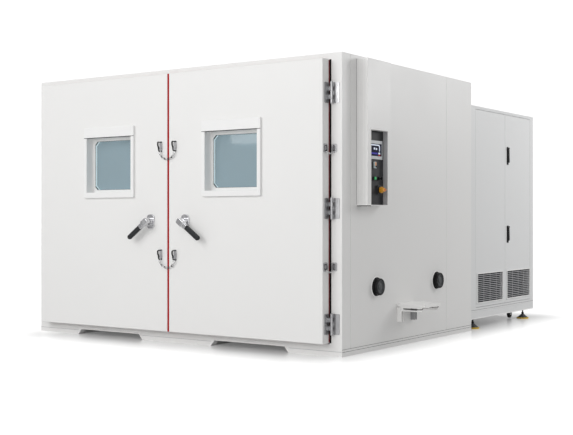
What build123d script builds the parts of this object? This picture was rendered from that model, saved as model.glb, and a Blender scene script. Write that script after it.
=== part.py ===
from build123d import *
import math
import os

os.makedirs("parts", exist_ok=True)

# All sizes are in millimetres. The origin lies on the floor, under the middle of the chamber.
# X runs along the front, +Y runs from the doors to the machine cabinet, +Z points up.

# Chamber body
chamber_width = 3140
chamber_depth = 2170
chamber_height = 2200
panel_thickness = 100
front_frame_depth = 117
plinth_height = 52
floor_top = 142
liner_sheet = 3
opening_half_width = 1400
opening_bottom = 145
opening_top = 2095
fork_pocket_middle = 732
fork_pocket_top_width = 668
fork_pocket_bottom_width = 742
fork_pocket_height = 48
panel_joint = 591
joint_groove = 4

# Doors
door_edge_margin = 105
door_seam = 18
seam_recess = 3
door_bottom = 95
door_top = 2153
door_thickness = 80
seal_height = 15
seal_width = 40
plug_depth = 70
plug_clearance = 15
hinge_offset_x = 32
hinge_offset_y = 9
hinge_height = 150
hinge_heights = (235, 1072, 1909)
hinge_pin_radius = 6
hinge_barrel_radius = 11
hinge_leaf = 4

# Windows
window_middle = 640
window_width = 500
window_bottom = 1214
window_top = 1670
flange_outer_width = 566
flange_bottom = 1168
flange_top = 1757
flange_height = 20
jamb_depth = 79
jamb_wall = 20
glass_border = 23
glass_corner = 26
pane = 6

# Lever handles
handle_middle = 181
handle_height = 973
handle_stand_off = 63
handle_droop = 36
spindle_radius = 8
rose_width = 82
rose_height = 116
rose_plate = 10
boss_radius = 29
boss_reach = 38
lever_head_front = 45
lever_head_rear = 27
lever_head_width = 50
lever_head_thickness = 42
collar_end = 76
collar_width = 38
collar_thickness = 30
handle_length = 232
grip_width = 38
grip_thickness = 26
tang_radius = 6
tang_reach = 80

# Safety chains
chain_bracket_middle = 75
chain_bracket_tops = (748, 1612)
bow_height = 72
bow_depth = 33
bow_curve = 5
bow_wire = 4.5
side_bracket_tops = (682, 1540)
side_bracket_height = 64

# Control housing on the right wall
housing_depth = 92
housing_front = -883
housing_rear = -530
housing_bottom = 1095
housing_top = 2176
housing_sheet = 3
recess_front = -830
recess_rear = -584
recess_bottom = 1100
recess_top = 1653
panel_face = 53
screen_front = -807
screen_rear = -607
screen_bottom = 1440
screen_top = 1580
button_at = (-725, 1298)
key_at = (-657, 1298)
main_switch_at = (-655, 1213)
socket_at = (-714, 1397)

# Cable ports in the right wall
port_places = (-592, 404)
port_height = 482
port_bore = 46
port_flange = 70
port_cap = 11
port_neck = 15
port_rim = 33
port_rim_radius = 64
port_dish = 50
port_dish_depth = 9

# Folding shelf on the right wall
shelf_front = -274
shelf_rear = -9
shelf_reach = 248
shelf_top = 335
shelf_lip = 25
shelf_pivot_out = 30
shelf_pivot_height = 293
shelf_leg_width = 34
shelf_leg_depth = 40
shelf_arm = 4

# Machine cabinet behind the chamber
machine_half_width = 1540
machine_gap = 20
machine_rear = 2599
machine_bottom = 90
machine_base_top = 170
machine_top = 2011
machine_sheet = 3
side_door_front = 1239
side_door_seam = 1899
side_door_rear = 2520
side_door_bottom = 190
side_door_top = 1984
side_door_thickness = 25
side_door_gap = 3
grille_bottom = 232
grille_top = 495
grille_front_span = (1275, 1831)
grille_rear_span = (1939, 2491)
latch_middle = 1958
latch_lower = (762, 927)
latch_upper = (1506, 1678)
grille_rim = 13
grille_sheet = 4
slot_rows = 15
slot_columns = 4
slot_bar = 6
rail_width = 215
foot_places = ((1495, 1277), (1495, 2438))
foot_radius = 59
foot_pad = 12
foot_cone_top = 46
foot_nut_top = 62
foot_stem_radius = 7
caster_at = (1380, 2380)
caster_radius = 40
caster_lift = 4.5
caster_plate = 4

# Air circulation
fan_height = 1650
fan_radius = 175
baffle_face = 880

# Fits
running_fit = 0.05
seat_fit = 0.3

half_width = chamber_width / 2
half_depth = chamber_depth / 2
wall_inside = half_width - panel_thickness
frame_back = -half_depth + front_frame_depth
rear_inside = half_depth - panel_thickness
roof_underside = chamber_height - panel_thickness
door_outer = half_width - door_edge_margin
door_inner = door_seam / 2
door_back = -half_depth - seal_height
door_front = door_back - door_thickness
plug_inside = door_back + plug_depth
hinge_x = door_outer + hinge_offset_x
hinge_y = door_back - hinge_offset_y
flange_face = door_front - flange_height
ring_face = flange_face + jamb_depth
handle_y = door_front - handle_stand_off
machine_front = half_depth + machine_gap
panel_x = half_width + panel_face
plunger_radius = 5


def span(low, high):
    """Middle and size between two values given in any order."""
    return (low + high) / 2, abs(high - low)


def block(xs, ys, zs, mode=Mode.ADD):
    """Add or cut a box between two corners of the part being built."""
    middle_x, size_x = span(*xs)
    middle_y, size_y = span(*ys)
    middle_z, size_z = span(*zs)
    with Locations((middle_x, middle_y, middle_z)):
        Box(size_x, size_y, size_z, mode=mode)


def bar(start, end, radius, mode=Mode.ADD):
    """Add or cut a round bar between two points."""
    direction = Vector(*end) - Vector(*start)
    with Locations(Plane(origin=start, z_dir=direction)):
        Cylinder(
            radius,
            direction.length,
            align=(Align.CENTER, Align.CENTER, Align.MIN),
            mode=mode,
        )


def cone(start, end, start_radius, end_radius):
    """Add a cone between two points."""
    direction = Vector(*end) - Vector(*start)
    with Locations(Plane(origin=start, z_dir=direction)):
        Cone(
            start_radius,
            end_radius,
            direction.length,
            align=(Align.CENTER, Align.CENTER, Align.MIN),
        )


def prism(plane, points, amount, mode=Mode.ADD):
    """Extrude a closed outline, drawn on a plane, by an amount."""
    with BuildSketch(plane) as profile:
        with BuildLine():
            Polyline(*points, close=True)
        make_face()
    extrude(profile.sketch, amount=amount, mode=mode)


def rounded_plate(plane, width, height, corner, amount, mode=Mode.ADD):
    """Extrude a rectangle with round corners from a plane."""
    with BuildSketch(plane) as profile:
        RectangleRounded(width, height, corner)
    extrude(profile.sketch, amount=amount, mode=mode)


def hexagon(base, radius, height):
    """Add an upright six-sided nut."""
    with BuildSketch(Plane(origin=base)) as profile:
        RegularPolygon(radius, 6)
    extrude(profile.sketch, amount=height)


def wire_bow(points, corner, radius):
    """Add a bent wire that follows straight runs with rounded corners."""
    with BuildLine() as path:
        FilletPolyline(*points, radius=corner)
    start = path.line @ 0
    with BuildSketch(Plane(origin=start, z_dir=path.line % 0)) as section:
        Circle(radius)
    sweep(section.sketch, path=path.line)


def make_link(length, width, wire):
    """Build one oval chain link that lies flat on XY with its length along X."""
    with BuildPart() as link:
        with BuildSketch() as outline:
            SlotOverall(length - 2 * wire, width - 2 * wire)
        path = outline.sketch.faces()[0].outer_wire()
        with BuildSketch(Plane(origin=path @ 0, z_dir=path % 0)) as section:
            Circle(wire)
        sweep(section.sketch, path=path)
    return link.part


def hanging_points(start, end, sag, count):
    """Points at equal steps along a chain that hangs in a parabola between two ends."""
    start = Vector(*start)
    end = Vector(*end)
    samples = []
    for step in range(401):
        along = step / 400
        drop = 4 * sag * along * (1 - along)
        samples.append(start + (end - start) * along - Vector(0, 0, drop))
    lengths = [0.0]
    for first, second in zip(samples, samples[1:]):
        lengths.append(lengths[-1] + (second - first).length)
    points = []
    for step in range(count + 1):
        wanted = lengths[-1] * step / count
        nearest = min(range(401), key=lambda index: abs(lengths[index] - wanted))
        points.append(samples[nearest])
    return points


def chain(points, sideways, wire, width, slack=0.3):
    """Add chain links along a row of points, each link turned a quarter to the next."""
    sideways = Vector(*sideways)
    for index, (first, second) in enumerate(zip(points, points[1:])):
        direction = (second - first).normalized()
        pitch = (second - first).length
        normal = direction.cross(sideways) if index % 2 == 0 else sideways
        normal = normal - direction * normal.dot(direction)
        link = make_link(pitch + 4 * wire + slack, width, wire)
        middle = (first + second) * 0.5
        add(link.moved(Plane(origin=middle, x_dir=direction, z_dir=normal).location))


def save(builder, name):
    """Label a finished part and write it to its own STEP file."""
    builder.part.label = name
    export_step(builder.part, f"parts/{name}.step")


def save_group(builders, name):
    """Write several finished parts that only touch as the solids of one STEP file."""
    group = Compound([solid for builder in builders for solid in builder.part.solids()])
    group.label = name
    export_step(group, f"parts/{name}.step")


# Plinth: a welded frame with two forklift pockets from front to back
with BuildPart() as plinth_frame:
    pocket_inner = fork_pocket_middle - fork_pocket_bottom_width / 2
    pocket_outer = fork_pocket_middle + fork_pocket_bottom_width / 2
    height = (0, plinth_height)
    full_depth = (-half_depth, half_depth)
    block((-40, 40), full_depth, height)
    for side in (-1, 1):
        block((side * 1490, side * half_width), full_depth, height)
        block((side * pocket_outer + side * 8, side * pocket_outer + side * 68), full_depth, height)
        block((side * pocket_inner - side * 8, side * pocket_inner - side * 68), full_depth, height)
    for end in (-1, 1):
        block((-half_width, half_width), (end * half_depth, end * (half_depth - 60)), height)
    for side in (-1, 1):
        low = fork_pocket_bottom_width / 2
        top = fork_pocket_top_width / 2
        middle = side * fork_pocket_middle
        outline = (
            (middle - low, -1),
            (middle + low, -1),
            (middle + top, fork_pocket_height),
            (middle - top, fork_pocket_height),
        )
        for start in (-half_depth - 1, half_depth - 61):
            prism(Plane.XZ.offset(-start), outline, -62, mode=Mode.SUBTRACT)
save(plinth_frame, "plinth_frame")

# Insulated floor panel
with BuildPart() as floor_panel:
    block((-wall_inside, wall_inside), (frame_back, rear_inside), (plinth_height, floor_top))
save(floor_panel, "floor_panel")

# Insulated frame round the doorway
with BuildPart() as front_frame:
    block(
        (-half_width, half_width),
        (-half_depth, frame_back),
        (plinth_height, chamber_height),
    )
    block(
        (-opening_half_width, opening_half_width),
        (-half_depth - 1, frame_back + 1),
        (opening_bottom, opening_top),
        mode=Mode.SUBTRACT,
    )
    chamfer(front_frame.edges().filter_by(Axis.Z).sort_by(Axis.X)[0:2], 1.5)
    chamfer(front_frame.edges().filter_by(Axis.Z).sort_by(Axis.X)[-2:], 1.5)
    chamfer(front_frame.edges().filter_by(Axis.X).group_by(Axis.Z)[-1], 1.5)
    for side in (-1, 1):
        block(
            (side * (half_width - joint_groove), side * (half_width + 1)),
            (frame_back - joint_groove, frame_back + 1),
            (plinth_height - 1, chamber_height + 1),
            mode=Mode.SUBTRACT,
        )
save(front_frame, "front_frame")

# Side walls, each of two panels with a joint line on the outside
for side, name in ((-1, "left_wall"), (1, "right_wall")):
    with BuildPart() as wall:
        block(
            (side * wall_inside, side * half_width),
            (frame_back, half_depth),
            (plinth_height, chamber_height),
        )
        chamfer(
            wall.faces().sort_by(Axis.X)[0 if side < 0 else -1].outer_wire().edges(),
            1.5,
        )
        block(
            (side * (half_width - joint_groove), side * (half_width + 1)),
            (panel_joint - 1.5, panel_joint + 1.5),
            (plinth_height - 1, chamber_height + 1),
            mode=Mode.SUBTRACT,
        )
        if side > 0:
            for place in port_places:
                bar(
                    (wall_inside - 1, place, port_height),
                    (half_width + 1, place, port_height),
                    port_bore + 6,
                    mode=Mode.SUBTRACT,
                )
    save(wall, name)

# Rear wall with holes for the fan shaft and the cooling pipes
pipe_places = ((-300, 1250), (-230, 1250))
pipe_radius = 14
with BuildPart() as rear_wall:
    block((-wall_inside, wall_inside), (rear_inside, half_depth), (plinth_height, chamber_height))
    bar((0, rear_inside - 1, fan_height), (0, half_depth + 1, fan_height), 24, mode=Mode.SUBTRACT)
    for pipe_x, pipe_z in pipe_places:
        bar(
            (pipe_x, rear_inside - 1, pipe_z),
            (pipe_x, half_depth + 1, pipe_z),
            pipe_radius + 0.5,
            mode=Mode.SUBTRACT,
        )
save(rear_wall, "rear_wall")

# Roof panel between the walls
with BuildPart() as roof_panel:
    block(
        (-wall_inside, wall_inside),
        (frame_back, rear_inside),
        (roof_underside, chamber_height),
    )
save(roof_panel, "roof_panel")

# Stainless liner: five sheets welded to a tub that is open to the doors
with BuildPart() as inner_liner:
    block(
        (-wall_inside, wall_inside),
        (frame_back, rear_inside),
        (floor_top, roof_underside),
    )
    block(
        (-wall_inside + liner_sheet, wall_inside - liner_sheet),
        (frame_back - 1, rear_inside - liner_sheet),
        (floor_top + liner_sheet, roof_underside - liner_sheet),
        mode=Mode.SUBTRACT,
    )
    for place in port_places:
        bar(
            (wall_inside - 10, place, port_height),
            (wall_inside + 1, place, port_height),
            port_bore + 6,
            mode=Mode.SUBTRACT,
        )
    bar((0, rear_inside - 10, fan_height), (0, rear_inside + 1, fan_height), 24, mode=Mode.SUBTRACT)
    for pipe_x, pipe_z in pipe_places:
        bar(
            (pipe_x, rear_inside - 10, pipe_z),
            (pipe_x, rear_inside + 1, pipe_z),
            pipe_radius + 0.5,
            mode=Mode.SUBTRACT,
        )
save(inner_liner, "inner_liner")

# Red silicone seal between the frame and both doors
with BuildPart() as opening_seal:
    seal_outer = door_outer - 3
    block((-seal_outer, seal_outer), (door_back, -half_depth), (door_bottom + 3, door_top - 3))
    block(
        (-seal_outer + seal_width, seal_outer - seal_width),
        (door_back - 1, -half_depth + 1),
        (door_bottom + 3 + seal_width, door_top - 3 - seal_width),
        mode=Mode.SUBTRACT,
    )
    groove = 5
    for inset in (11, 24):
        low = inset
        high = inset + groove
        with BuildSketch(Plane.XZ.offset(-door_back)) as lips:
            with Locations((0, (door_bottom + door_top) / 2)):
                Rectangle(2 * (seal_outer - low), door_top - door_bottom - 6 - 2 * low)
                Rectangle(
                    2 * (seal_outer - high),
                    door_top - door_bottom - 6 - 2 * high,
                    mode=Mode.SUBTRACT,
                )
        extrude(lips.sketch, amount=-6, mode=Mode.SUBTRACT)
save(opening_seal, "opening_seal")

# Perforated sheet that makes the air duct in front of the rear wall
with BuildPart() as air_baffle:
    baffle_half = wall_inside - liner_sheet
    duct_back = rear_inside - liner_sheet
    block((-baffle_half, baffle_half), (baffle_face, baffle_face + 3), (260, 1990))
    for side in (-1, 1):
        block((side * (baffle_half - 3), side * baffle_half), (baffle_face, duct_back), (260, 1990))
        block((side * 600, side * 603), (baffle_face, duct_back), (1400, 1990))
    block((-603, 603), (baffle_face, duct_back), (1397, 1400))
    block((-220, 220), (baffle_face - 1, duct_back + 1), (1396, 1401), mode=Mode.SUBTRACT)
    bar(
        (0, baffle_face - 1, fan_height),
        (0, baffle_face + 4, fan_height),
        fan_radius + 12,
        mode=Mode.SUBTRACT,
    )
    with Locations((0, baffle_face + 1.5, 330), (0, baffle_face + 1.5, 1920)):
        with GridLocations(240, 1, 11, 1):
            Box(190, 8, 44, mode=Mode.SUBTRACT)
save(air_baffle, "air_baffle")

# Fan motor on the outside of the rear wall
with BuildPart() as fan_motor:
    rounded_plate(
        Plane(origin=(0, half_depth, fan_height), x_dir=(1, 0, 0), z_dir=(0, 1, 0)),
        240,
        240,
        30,
        10,
    )
    bar((0, half_depth + 10, fan_height), (0, half_depth + 290, fan_height), 92)
    bar((0, half_depth + 290, fan_height), (0, half_depth + 330, fan_height), 98)
    with Locations(Plane(origin=(0, half_depth + 150, fan_height), z_dir=(0, 1, 0))):
        with PolarLocations(94, 24):
            Box(14, 4, 250)
    block((-55, 55), (half_depth + 80, half_depth + 200), (fan_height + 80, fan_height + 140))
    bar((0, half_depth - 1, fan_height), (0, half_depth + 60, fan_height), 10.05, mode=Mode.SUBTRACT)
save(fan_motor, "fan_motor")

# Axial fan wheel with its shaft
with BuildPart() as fan_wheel:
    bar((0, 900, fan_height), (0, 962, fan_height), 42)
    chamfer(fan_wheel.edges().filter_by(GeomType.CIRCLE).sort_by(Axis.Y)[0], 6)
    bar((0, 905, fan_height), (0, half_depth + 55, fan_height), 10)
    for blade in range(6):
        turn = math.radians(blade * 60)
        radial = Plane(
            origin=(0, 931, fan_height),
            x_dir=(math.cos(turn), 0, math.sin(turn)),
            z_dir=(0, 1, 0),
        )
        with Locations(radial.location * Location((105, 0, 0), (34, 0, 0))):
            Box(130, 86, 3)
save(fan_wheel, "fan_wheel")

# Electric heater: bent tube on two rails
with BuildPart() as heater_coil:
    rows = 6
    row_pitch = 56
    bottom_row = 420
    reach = 1000
    runs = []
    for row in range(rows):
        level = bottom_row + row * row_pitch
        ends = (-reach, reach) if row % 2 == 0 else (reach, -reach)
        runs.append((ends[0], 925, level))
        runs.append((ends[1], 925, level))
    wire_bow(runs, 26, 7)
    top_row = bottom_row + (rows - 1) * row_pitch
    for rail in (-700, 700):
        block((rail - 15, rail + 15), (930, 936), (bottom_row - 30, top_row + 30))
        for level in (bottom_row - 20, top_row + 10):
            block((rail - 12, rail + 12), (936, rear_inside - liner_sheet), (level, level + 10))
save(heater_coil, "heater_coil")

# Cooling coil: fin pack, end plates, return bends and pipe stubs
with BuildPart() as evaporator_coil:
    coil_back = rear_inside - liner_sheet
    block((-900, 900), (coil_back - 76, coil_back), (800, 805))
    block((-900, 900), (coil_back - 76, coil_back), (1195, 1200))
    for side in (-1, 1):
        block((side * 900, side * 904), (coil_back - 76, coil_back), (800, 1200))
    for fin in range(30):
        place = -870 + fin * 60
        block((place - 1, place + 1), (coil_back - 72, coil_back - 4), (805, 1195))
    for row in range(6):
        level = 840 + row * 64
        bar((-926, coil_back - 38, level), (926, coil_back - 38, level), 8)
    for row in range(5):
        level = 840 + row * 64
        out = 926 if row % 2 == 0 else -926
        block((out - 8, out + 8), (coil_back - 46, coil_back - 30), (level, level + 64))
    for pipe_x, pipe_z in pipe_places:
        bar((pipe_x, coil_back - 38, 1195), (pipe_x, coil_back - 38, pipe_z + 14), pipe_radius)
        bar((pipe_x, coil_back - 38, pipe_z), (pipe_x, coil_back + liner_sheet, pipe_z), pipe_radius)
save(evaporator_coil, "evaporator_coil")

# Plastic sleeves that line the cable ports
with BuildPart() as port_sleeves:
    for place in port_places:
        inside = wall_inside - liner_sheet
        bar((half_width, place, port_height), (half_width + 6, place, port_height), port_flange)
        bar((inside - 4, place, port_height), (half_width, place, port_height), port_bore + 6)
        bar((inside - 4, place, port_height), (inside, place, port_height), port_bore + 16)
        bar(
            (inside - 5, place, port_height),
            (half_width + 7, place, port_height),
            port_bore,
            mode=Mode.SUBTRACT,
        )
save(port_sleeves, "port_sleeves")

# Port plugs: stepped cap outside, short body inside the sleeve
for place, name in zip(port_places, ("port_plug_front", "port_plug_rear")):
    with BuildPart() as port_plug:
        face = half_width + 6 + seat_fit
        bar((face - 40, place, port_height), (face, place, port_height), port_bore - running_fit)
        bar((face, place, port_height), (face + port_cap, place, port_height), port_flange - 3)
        bar(
            (face + port_cap, place, port_height),
            (face + port_neck, place, port_height),
            port_rim_radius - 6,
        )
        bar(
            (face + port_neck, place, port_height),
            (face + port_rim, place, port_height),
            port_rim_radius,
        )
        fillet(port_plug.edges().filter_by(GeomType.CIRCLE).sort_by(Axis.X)[-1], 4)
        bar(
            (face + port_rim - port_dish_depth, place, port_height),
            (face + port_rim + 1, place, port_height),
            port_dish,
            mode=Mode.SUBTRACT,
        )
        bar(
            (face + port_rim - port_dish_depth, place, port_height),
            (face + port_rim - port_dish_depth + 4, place, port_height),
            port_dish / 2,
        )
        chamfer(port_plug.edges().filter_by(GeomType.CIRCLE).sort_by(Axis.X)[0], 3)
    save(port_plug, name)

# Control housing: folded sheet box with a deep recess for the panel
lip = 12
with BuildPart() as control_housing:
    out = half_width + housing_depth
    block((half_width, out), (housing_front, housing_rear), (housing_bottom, housing_top))
    fillet(control_housing.edges().filter_by(Axis.Z).group_by(Axis.X)[-1], 4)
    block(
        (half_width - 1, out - housing_sheet),
        (housing_front + housing_sheet, housing_rear - housing_sheet),
        (housing_bottom + housing_sheet, housing_top - housing_sheet),
        mode=Mode.SUBTRACT,
    )
    block(
        (panel_x - housing_sheet - 8, out - 1),
        (recess_front - housing_sheet, recess_rear + housing_sheet),
        (housing_bottom + 1, recess_top + housing_sheet),
    )
    block(
        (panel_x - housing_sheet, out + 1),
        (recess_front, recess_rear),
        (recess_bottom, recess_top),
        mode=Mode.SUBTRACT,
    )
    block(
        (panel_x - housing_sheet - 9, panel_x),
        (recess_front + lip, recess_rear - lip),
        (recess_bottom + lip, recess_top - lip),
        mode=Mode.SUBTRACT,
    )
    for groove_place in range(6):
        place = half_width + 16 + groove_place * 11
        block(
            (place - 1.5, place + 1.5),
            (housing_front - 1, housing_front + 1),
            (housing_bottom + 12, housing_top - 12),
            mode=Mode.SUBTRACT,
        )
save(control_housing, "control_housing")

# Black panel plate with the fixed bodies of its switches and socket
with BuildPart() as control_panel:
    block(
        (panel_x - housing_sheet, panel_x),
        (recess_front, recess_rear),
        (recess_bottom, recess_top),
    )
    socket_y, socket_z = socket_at
    block((panel_x, panel_x + 12), (socket_y - 18, socket_y + 18), (socket_z - 24, socket_z + 24))
    block(
        (panel_x + 4, panel_x + 13),
        (socket_y - 12, socket_y + 12),
        (socket_z - 18, socket_z - 4),
        mode=Mode.SUBTRACT,
    )
    for switch_y, switch_z in (button_at, key_at):
        bar((panel_x, switch_y, switch_z), (panel_x + 6, switch_y, switch_z), 15)
        bar((panel_x - 30, switch_y, switch_z), (panel_x, switch_y, switch_z), 13)
        bar(
            (panel_x - 26, switch_y, switch_z),
            (panel_x + 7, switch_y, switch_z),
            plunger_radius + running_fit,
            mode=Mode.SUBTRACT,
        )
    main_y, main_z = main_switch_at
    block((panel_x, panel_x + 14), (main_y - 33, main_y + 33), (main_z - 33, main_z + 33))
    block((panel_x - 34, panel_x), (main_y - 28, main_y + 28), (main_z - 28, main_z + 28))
    bar(
        (panel_x - 20, main_y, main_z),
        (panel_x + 15, main_y, main_z),
        plunger_radius + running_fit,
        mode=Mode.SUBTRACT,
    )
save(control_panel, "control_panel")

# Touch screen with a raised bezel
with BuildPart() as touch_screen:
    block((panel_x, panel_x + 9), (screen_front, screen_rear), (screen_bottom, screen_top))
    fillet(touch_screen.edges().filter_by(Axis.X), 6)
    chamfer(touch_screen.faces().sort_by(Axis.X)[-1].outer_wire().edges(), 2)
    block(
        (panel_x + 7.5, panel_x + 10),
        (screen_front + 12, screen_rear - 12),
        (screen_bottom + 12, screen_top - 12),
        mode=Mode.SUBTRACT,
    )
save(touch_screen, "touch_screen")

# Green push button
with BuildPart() as start_button:
    button_y, button_z = button_at
    cap_base = panel_x + 6 + 5
    bar((panel_x - 18, button_y, button_z), (cap_base, button_y, button_z), plunger_radius)
    bar((cap_base, button_y, button_z), (cap_base + 8, button_y, button_z), 12)
    fillet(start_button.edges().filter_by(GeomType.CIRCLE).sort_by(Axis.X)[-1], 2)
save(start_button, "start_button")

# Key switch: turning head with its key bow
with BuildPart() as key_switch:
    key_y, key_z = key_at
    head = panel_x + 6 + seat_fit
    bar((panel_x - 18, key_y, key_z), (head, key_y, key_z), plunger_radius)
    bar((head, key_y, key_z), (head + 10, key_y, key_z), 12.5)
    chamfer(key_switch.edges().filter_by(GeomType.CIRCLE).sort_by(Axis.X)[-1], 2)
    block((head + 9, head + 17), (key_y - 1.5, key_y + 1.5), (key_z - 4, key_z + 4))
    block((head + 17, head + 31), (key_y - 1.5, key_y + 1.5), (key_z - 10, key_z + 10))
    fillet(key_switch.edges().filter_by(Axis.Y).sort_by(Axis.X)[-2:], 4)
save(key_switch, "key_switch")

# Main switch: yellow dial with a grip that points sideways
with BuildPart() as main_switch_knob:
    main_y, main_z = main_switch_at
    dial = panel_x + 14 + seat_fit
    bar((panel_x - 16, main_y, main_z), (dial, main_y, main_z), plunger_radius)
    bar((dial, main_y, main_z), (dial + 12, main_y, main_z), 28.5)
    chamfer(main_switch_knob.edges().filter_by(GeomType.CIRCLE).sort_by(Axis.X)[-1], 1.5)
    bar((dial + 12, main_y, main_z), (dial + 16, main_y, main_z), 20)
    grip = (
        (main_y - 21, main_z - 8),
        (main_y + 17, main_z - 8),
        (main_y + 26, main_z - 3),
        (main_y + 26, main_z + 3),
        (main_y + 17, main_z + 8),
        (main_y - 21, main_z + 8),
    )
    prism(Plane.YZ.offset(dial + 12), grip, 30)
save(main_switch_knob, "main_switch_knob")

# Wall brackets of the folding shelf with their pivot pins
with BuildPart() as shelf_brackets:
    legs = (
        (shelf_front + shelf_arm + 1, -1),
        (shelf_rear - shelf_arm - 1 - shelf_leg_width, 1),
    )
    for start, outward in legs:
        leg_z = (190, 305)
        block((half_width, half_width + shelf_leg_depth), (start, start + shelf_leg_width), leg_z)
        block(
            (half_width + 3, half_width + shelf_leg_depth + 1),
            (start + 3, start + shelf_leg_width - 3),
            (189, 302),
            mode=Mode.SUBTRACT,
        )
        pin_x = half_width + shelf_pivot_out
        outside = start if outward < 0 else start + shelf_leg_width
        pin_end = outside + outward * (shelf_arm + 2)
        bar((pin_x, outside - outward * 3, shelf_pivot_height), (pin_x, pin_end, shelf_pivot_height), 4)
        bar(
            (pin_x, pin_end, shelf_pivot_height),
            (pin_x, pin_end + outward * 3, shelf_pivot_height),
            7,
        )
save(shelf_brackets, "shelf_brackets")

# Shelf tray with its two slotted arms
with BuildPart() as shelf_tray:
    reach_out = half_width + shelf_reach
    near_wall = half_width + 1
    sheet = 2
    block((near_wall, reach_out), (shelf_front, shelf_rear), (shelf_top - shelf_lip, shelf_top))
    fillet(shelf_tray.edges().filter_by(Axis.Z).sort_by(Axis.X)[-2:], 8)
    block(
        (near_wall - 1, reach_out - sheet),
        (shelf_front + sheet, shelf_rear - sheet),
        (shelf_top - shelf_lip - 1, shelf_top - sheet),
        mode=Mode.SUBTRACT,
    )
    for outward, face in ((-1, shelf_front), (1, shelf_rear)):
        arm_plane = Plane(
            origin=(half_width + 124, face, shelf_pivot_height),
            x_dir=(1, 0, 0),
            z_dir=(0, -outward, 0),
        )
        with BuildSketch(arm_plane) as arm:
            SlotOverall(204, 36)
            SlotOverall(120, 16, mode=Mode.SUBTRACT)
        extrude(arm.sketch, amount=shelf_arm)
        bar(
            (half_width + shelf_pivot_out, face + outward, shelf_pivot_height),
            (half_width + shelf_pivot_out, face - outward * (shelf_arm + 1), shelf_pivot_height),
            4 + running_fit,
            mode=Mode.SUBTRACT,
        )
save(shelf_tray, "shelf_tray")


def knuckle_spans(middle):
    """Heights of the five hinge knuckles, from the bottom up."""
    step = hinge_height / 5
    low = middle - hinge_height / 2
    return [(low + index * step + 0.25, low + (index + 1) * step - 0.25) for index in range(5)]


# Fixed hinge halves with their pins, and the chain eyes on the frame
with BuildPart() as frame_fittings:
    for side in (-1, 1):
        for middle in hinge_heights:
            low = middle - hinge_height / 2
            high = middle + hinge_height / 2
            leaf_plane = Plane(
                origin=(side * (hinge_x + 22), -half_depth - hinge_leaf, middle),
                x_dir=(1, 0, 0),
                z_dir=(0, 1, 0),
            )
            rounded_plate(leaf_plane, 62, hinge_height, 7, hinge_leaf)
            for index, (start, end) in enumerate(knuckle_spans(middle)):
                if index % 2 == 0:
                    bar(
                        (side * hinge_x, hinge_y, start),
                        (side * hinge_x, hinge_y, end),
                        hinge_barrel_radius,
                    )
                    block(
                        (side * (hinge_x - 6), side * (hinge_x + 6)),
                        (hinge_y, -half_depth - 1),
                        (start, end),
                    )
            bar(
                (side * hinge_x, hinge_y, low - 4),
                (side * hinge_x, hinge_y, high + 4),
                hinge_pin_radius,
            )
            for level in (low - 4, high + 0.5):
                bar(
                    (side * hinge_x, hinge_y, level),
                    (side * hinge_x, hinge_y, level + 4),
                    hinge_barrel_radius - 2,
                )
            for screw in (-50, 0, 50):
                bar(
                    (side * (hinge_x + 30), -half_depth - hinge_leaf - 2, middle + screw),
                    (side * (hinge_x + 30), -half_depth - hinge_leaf, middle + screw),
                    6,
                )
        for top in side_bracket_tops:
            eye_plane = Plane(
                origin=(side * (door_outer + 40), -half_depth - 3, top - side_bracket_height / 2),
                x_dir=(1, 0, 0),
                z_dir=(0, 1, 0),
            )
            rounded_plate(eye_plane, 48, side_bracket_height, 12, 3)
            wire_bow(
                (
                    (side * (door_outer + 40), -half_depth - 2, top - 14),
                    (side * (door_outer + 40), -half_depth - 17, top - 14),
                    (side * (door_outer + 40), -half_depth - 17, top - 50),
                    (side * (door_outer + 40), -half_depth - 2, top - 50),
                ),
                7,
                3,
            )
save(frame_fittings, "frame_fittings")

window_levels = (window_bottom, window_top)
plug_x = (plug_clearance, opening_half_width - plug_clearance)
plug_z = (opening_bottom + plug_clearance, opening_top - plug_clearance)
glass_x = (window_middle - window_width / 2 + 6, window_middle + window_width / 2 - 6)
glass_z = (window_bottom + 6, window_top - 6)
lever_away = Vector(1, 0, 0).rotate(Axis.Y, handle_droop)

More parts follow.
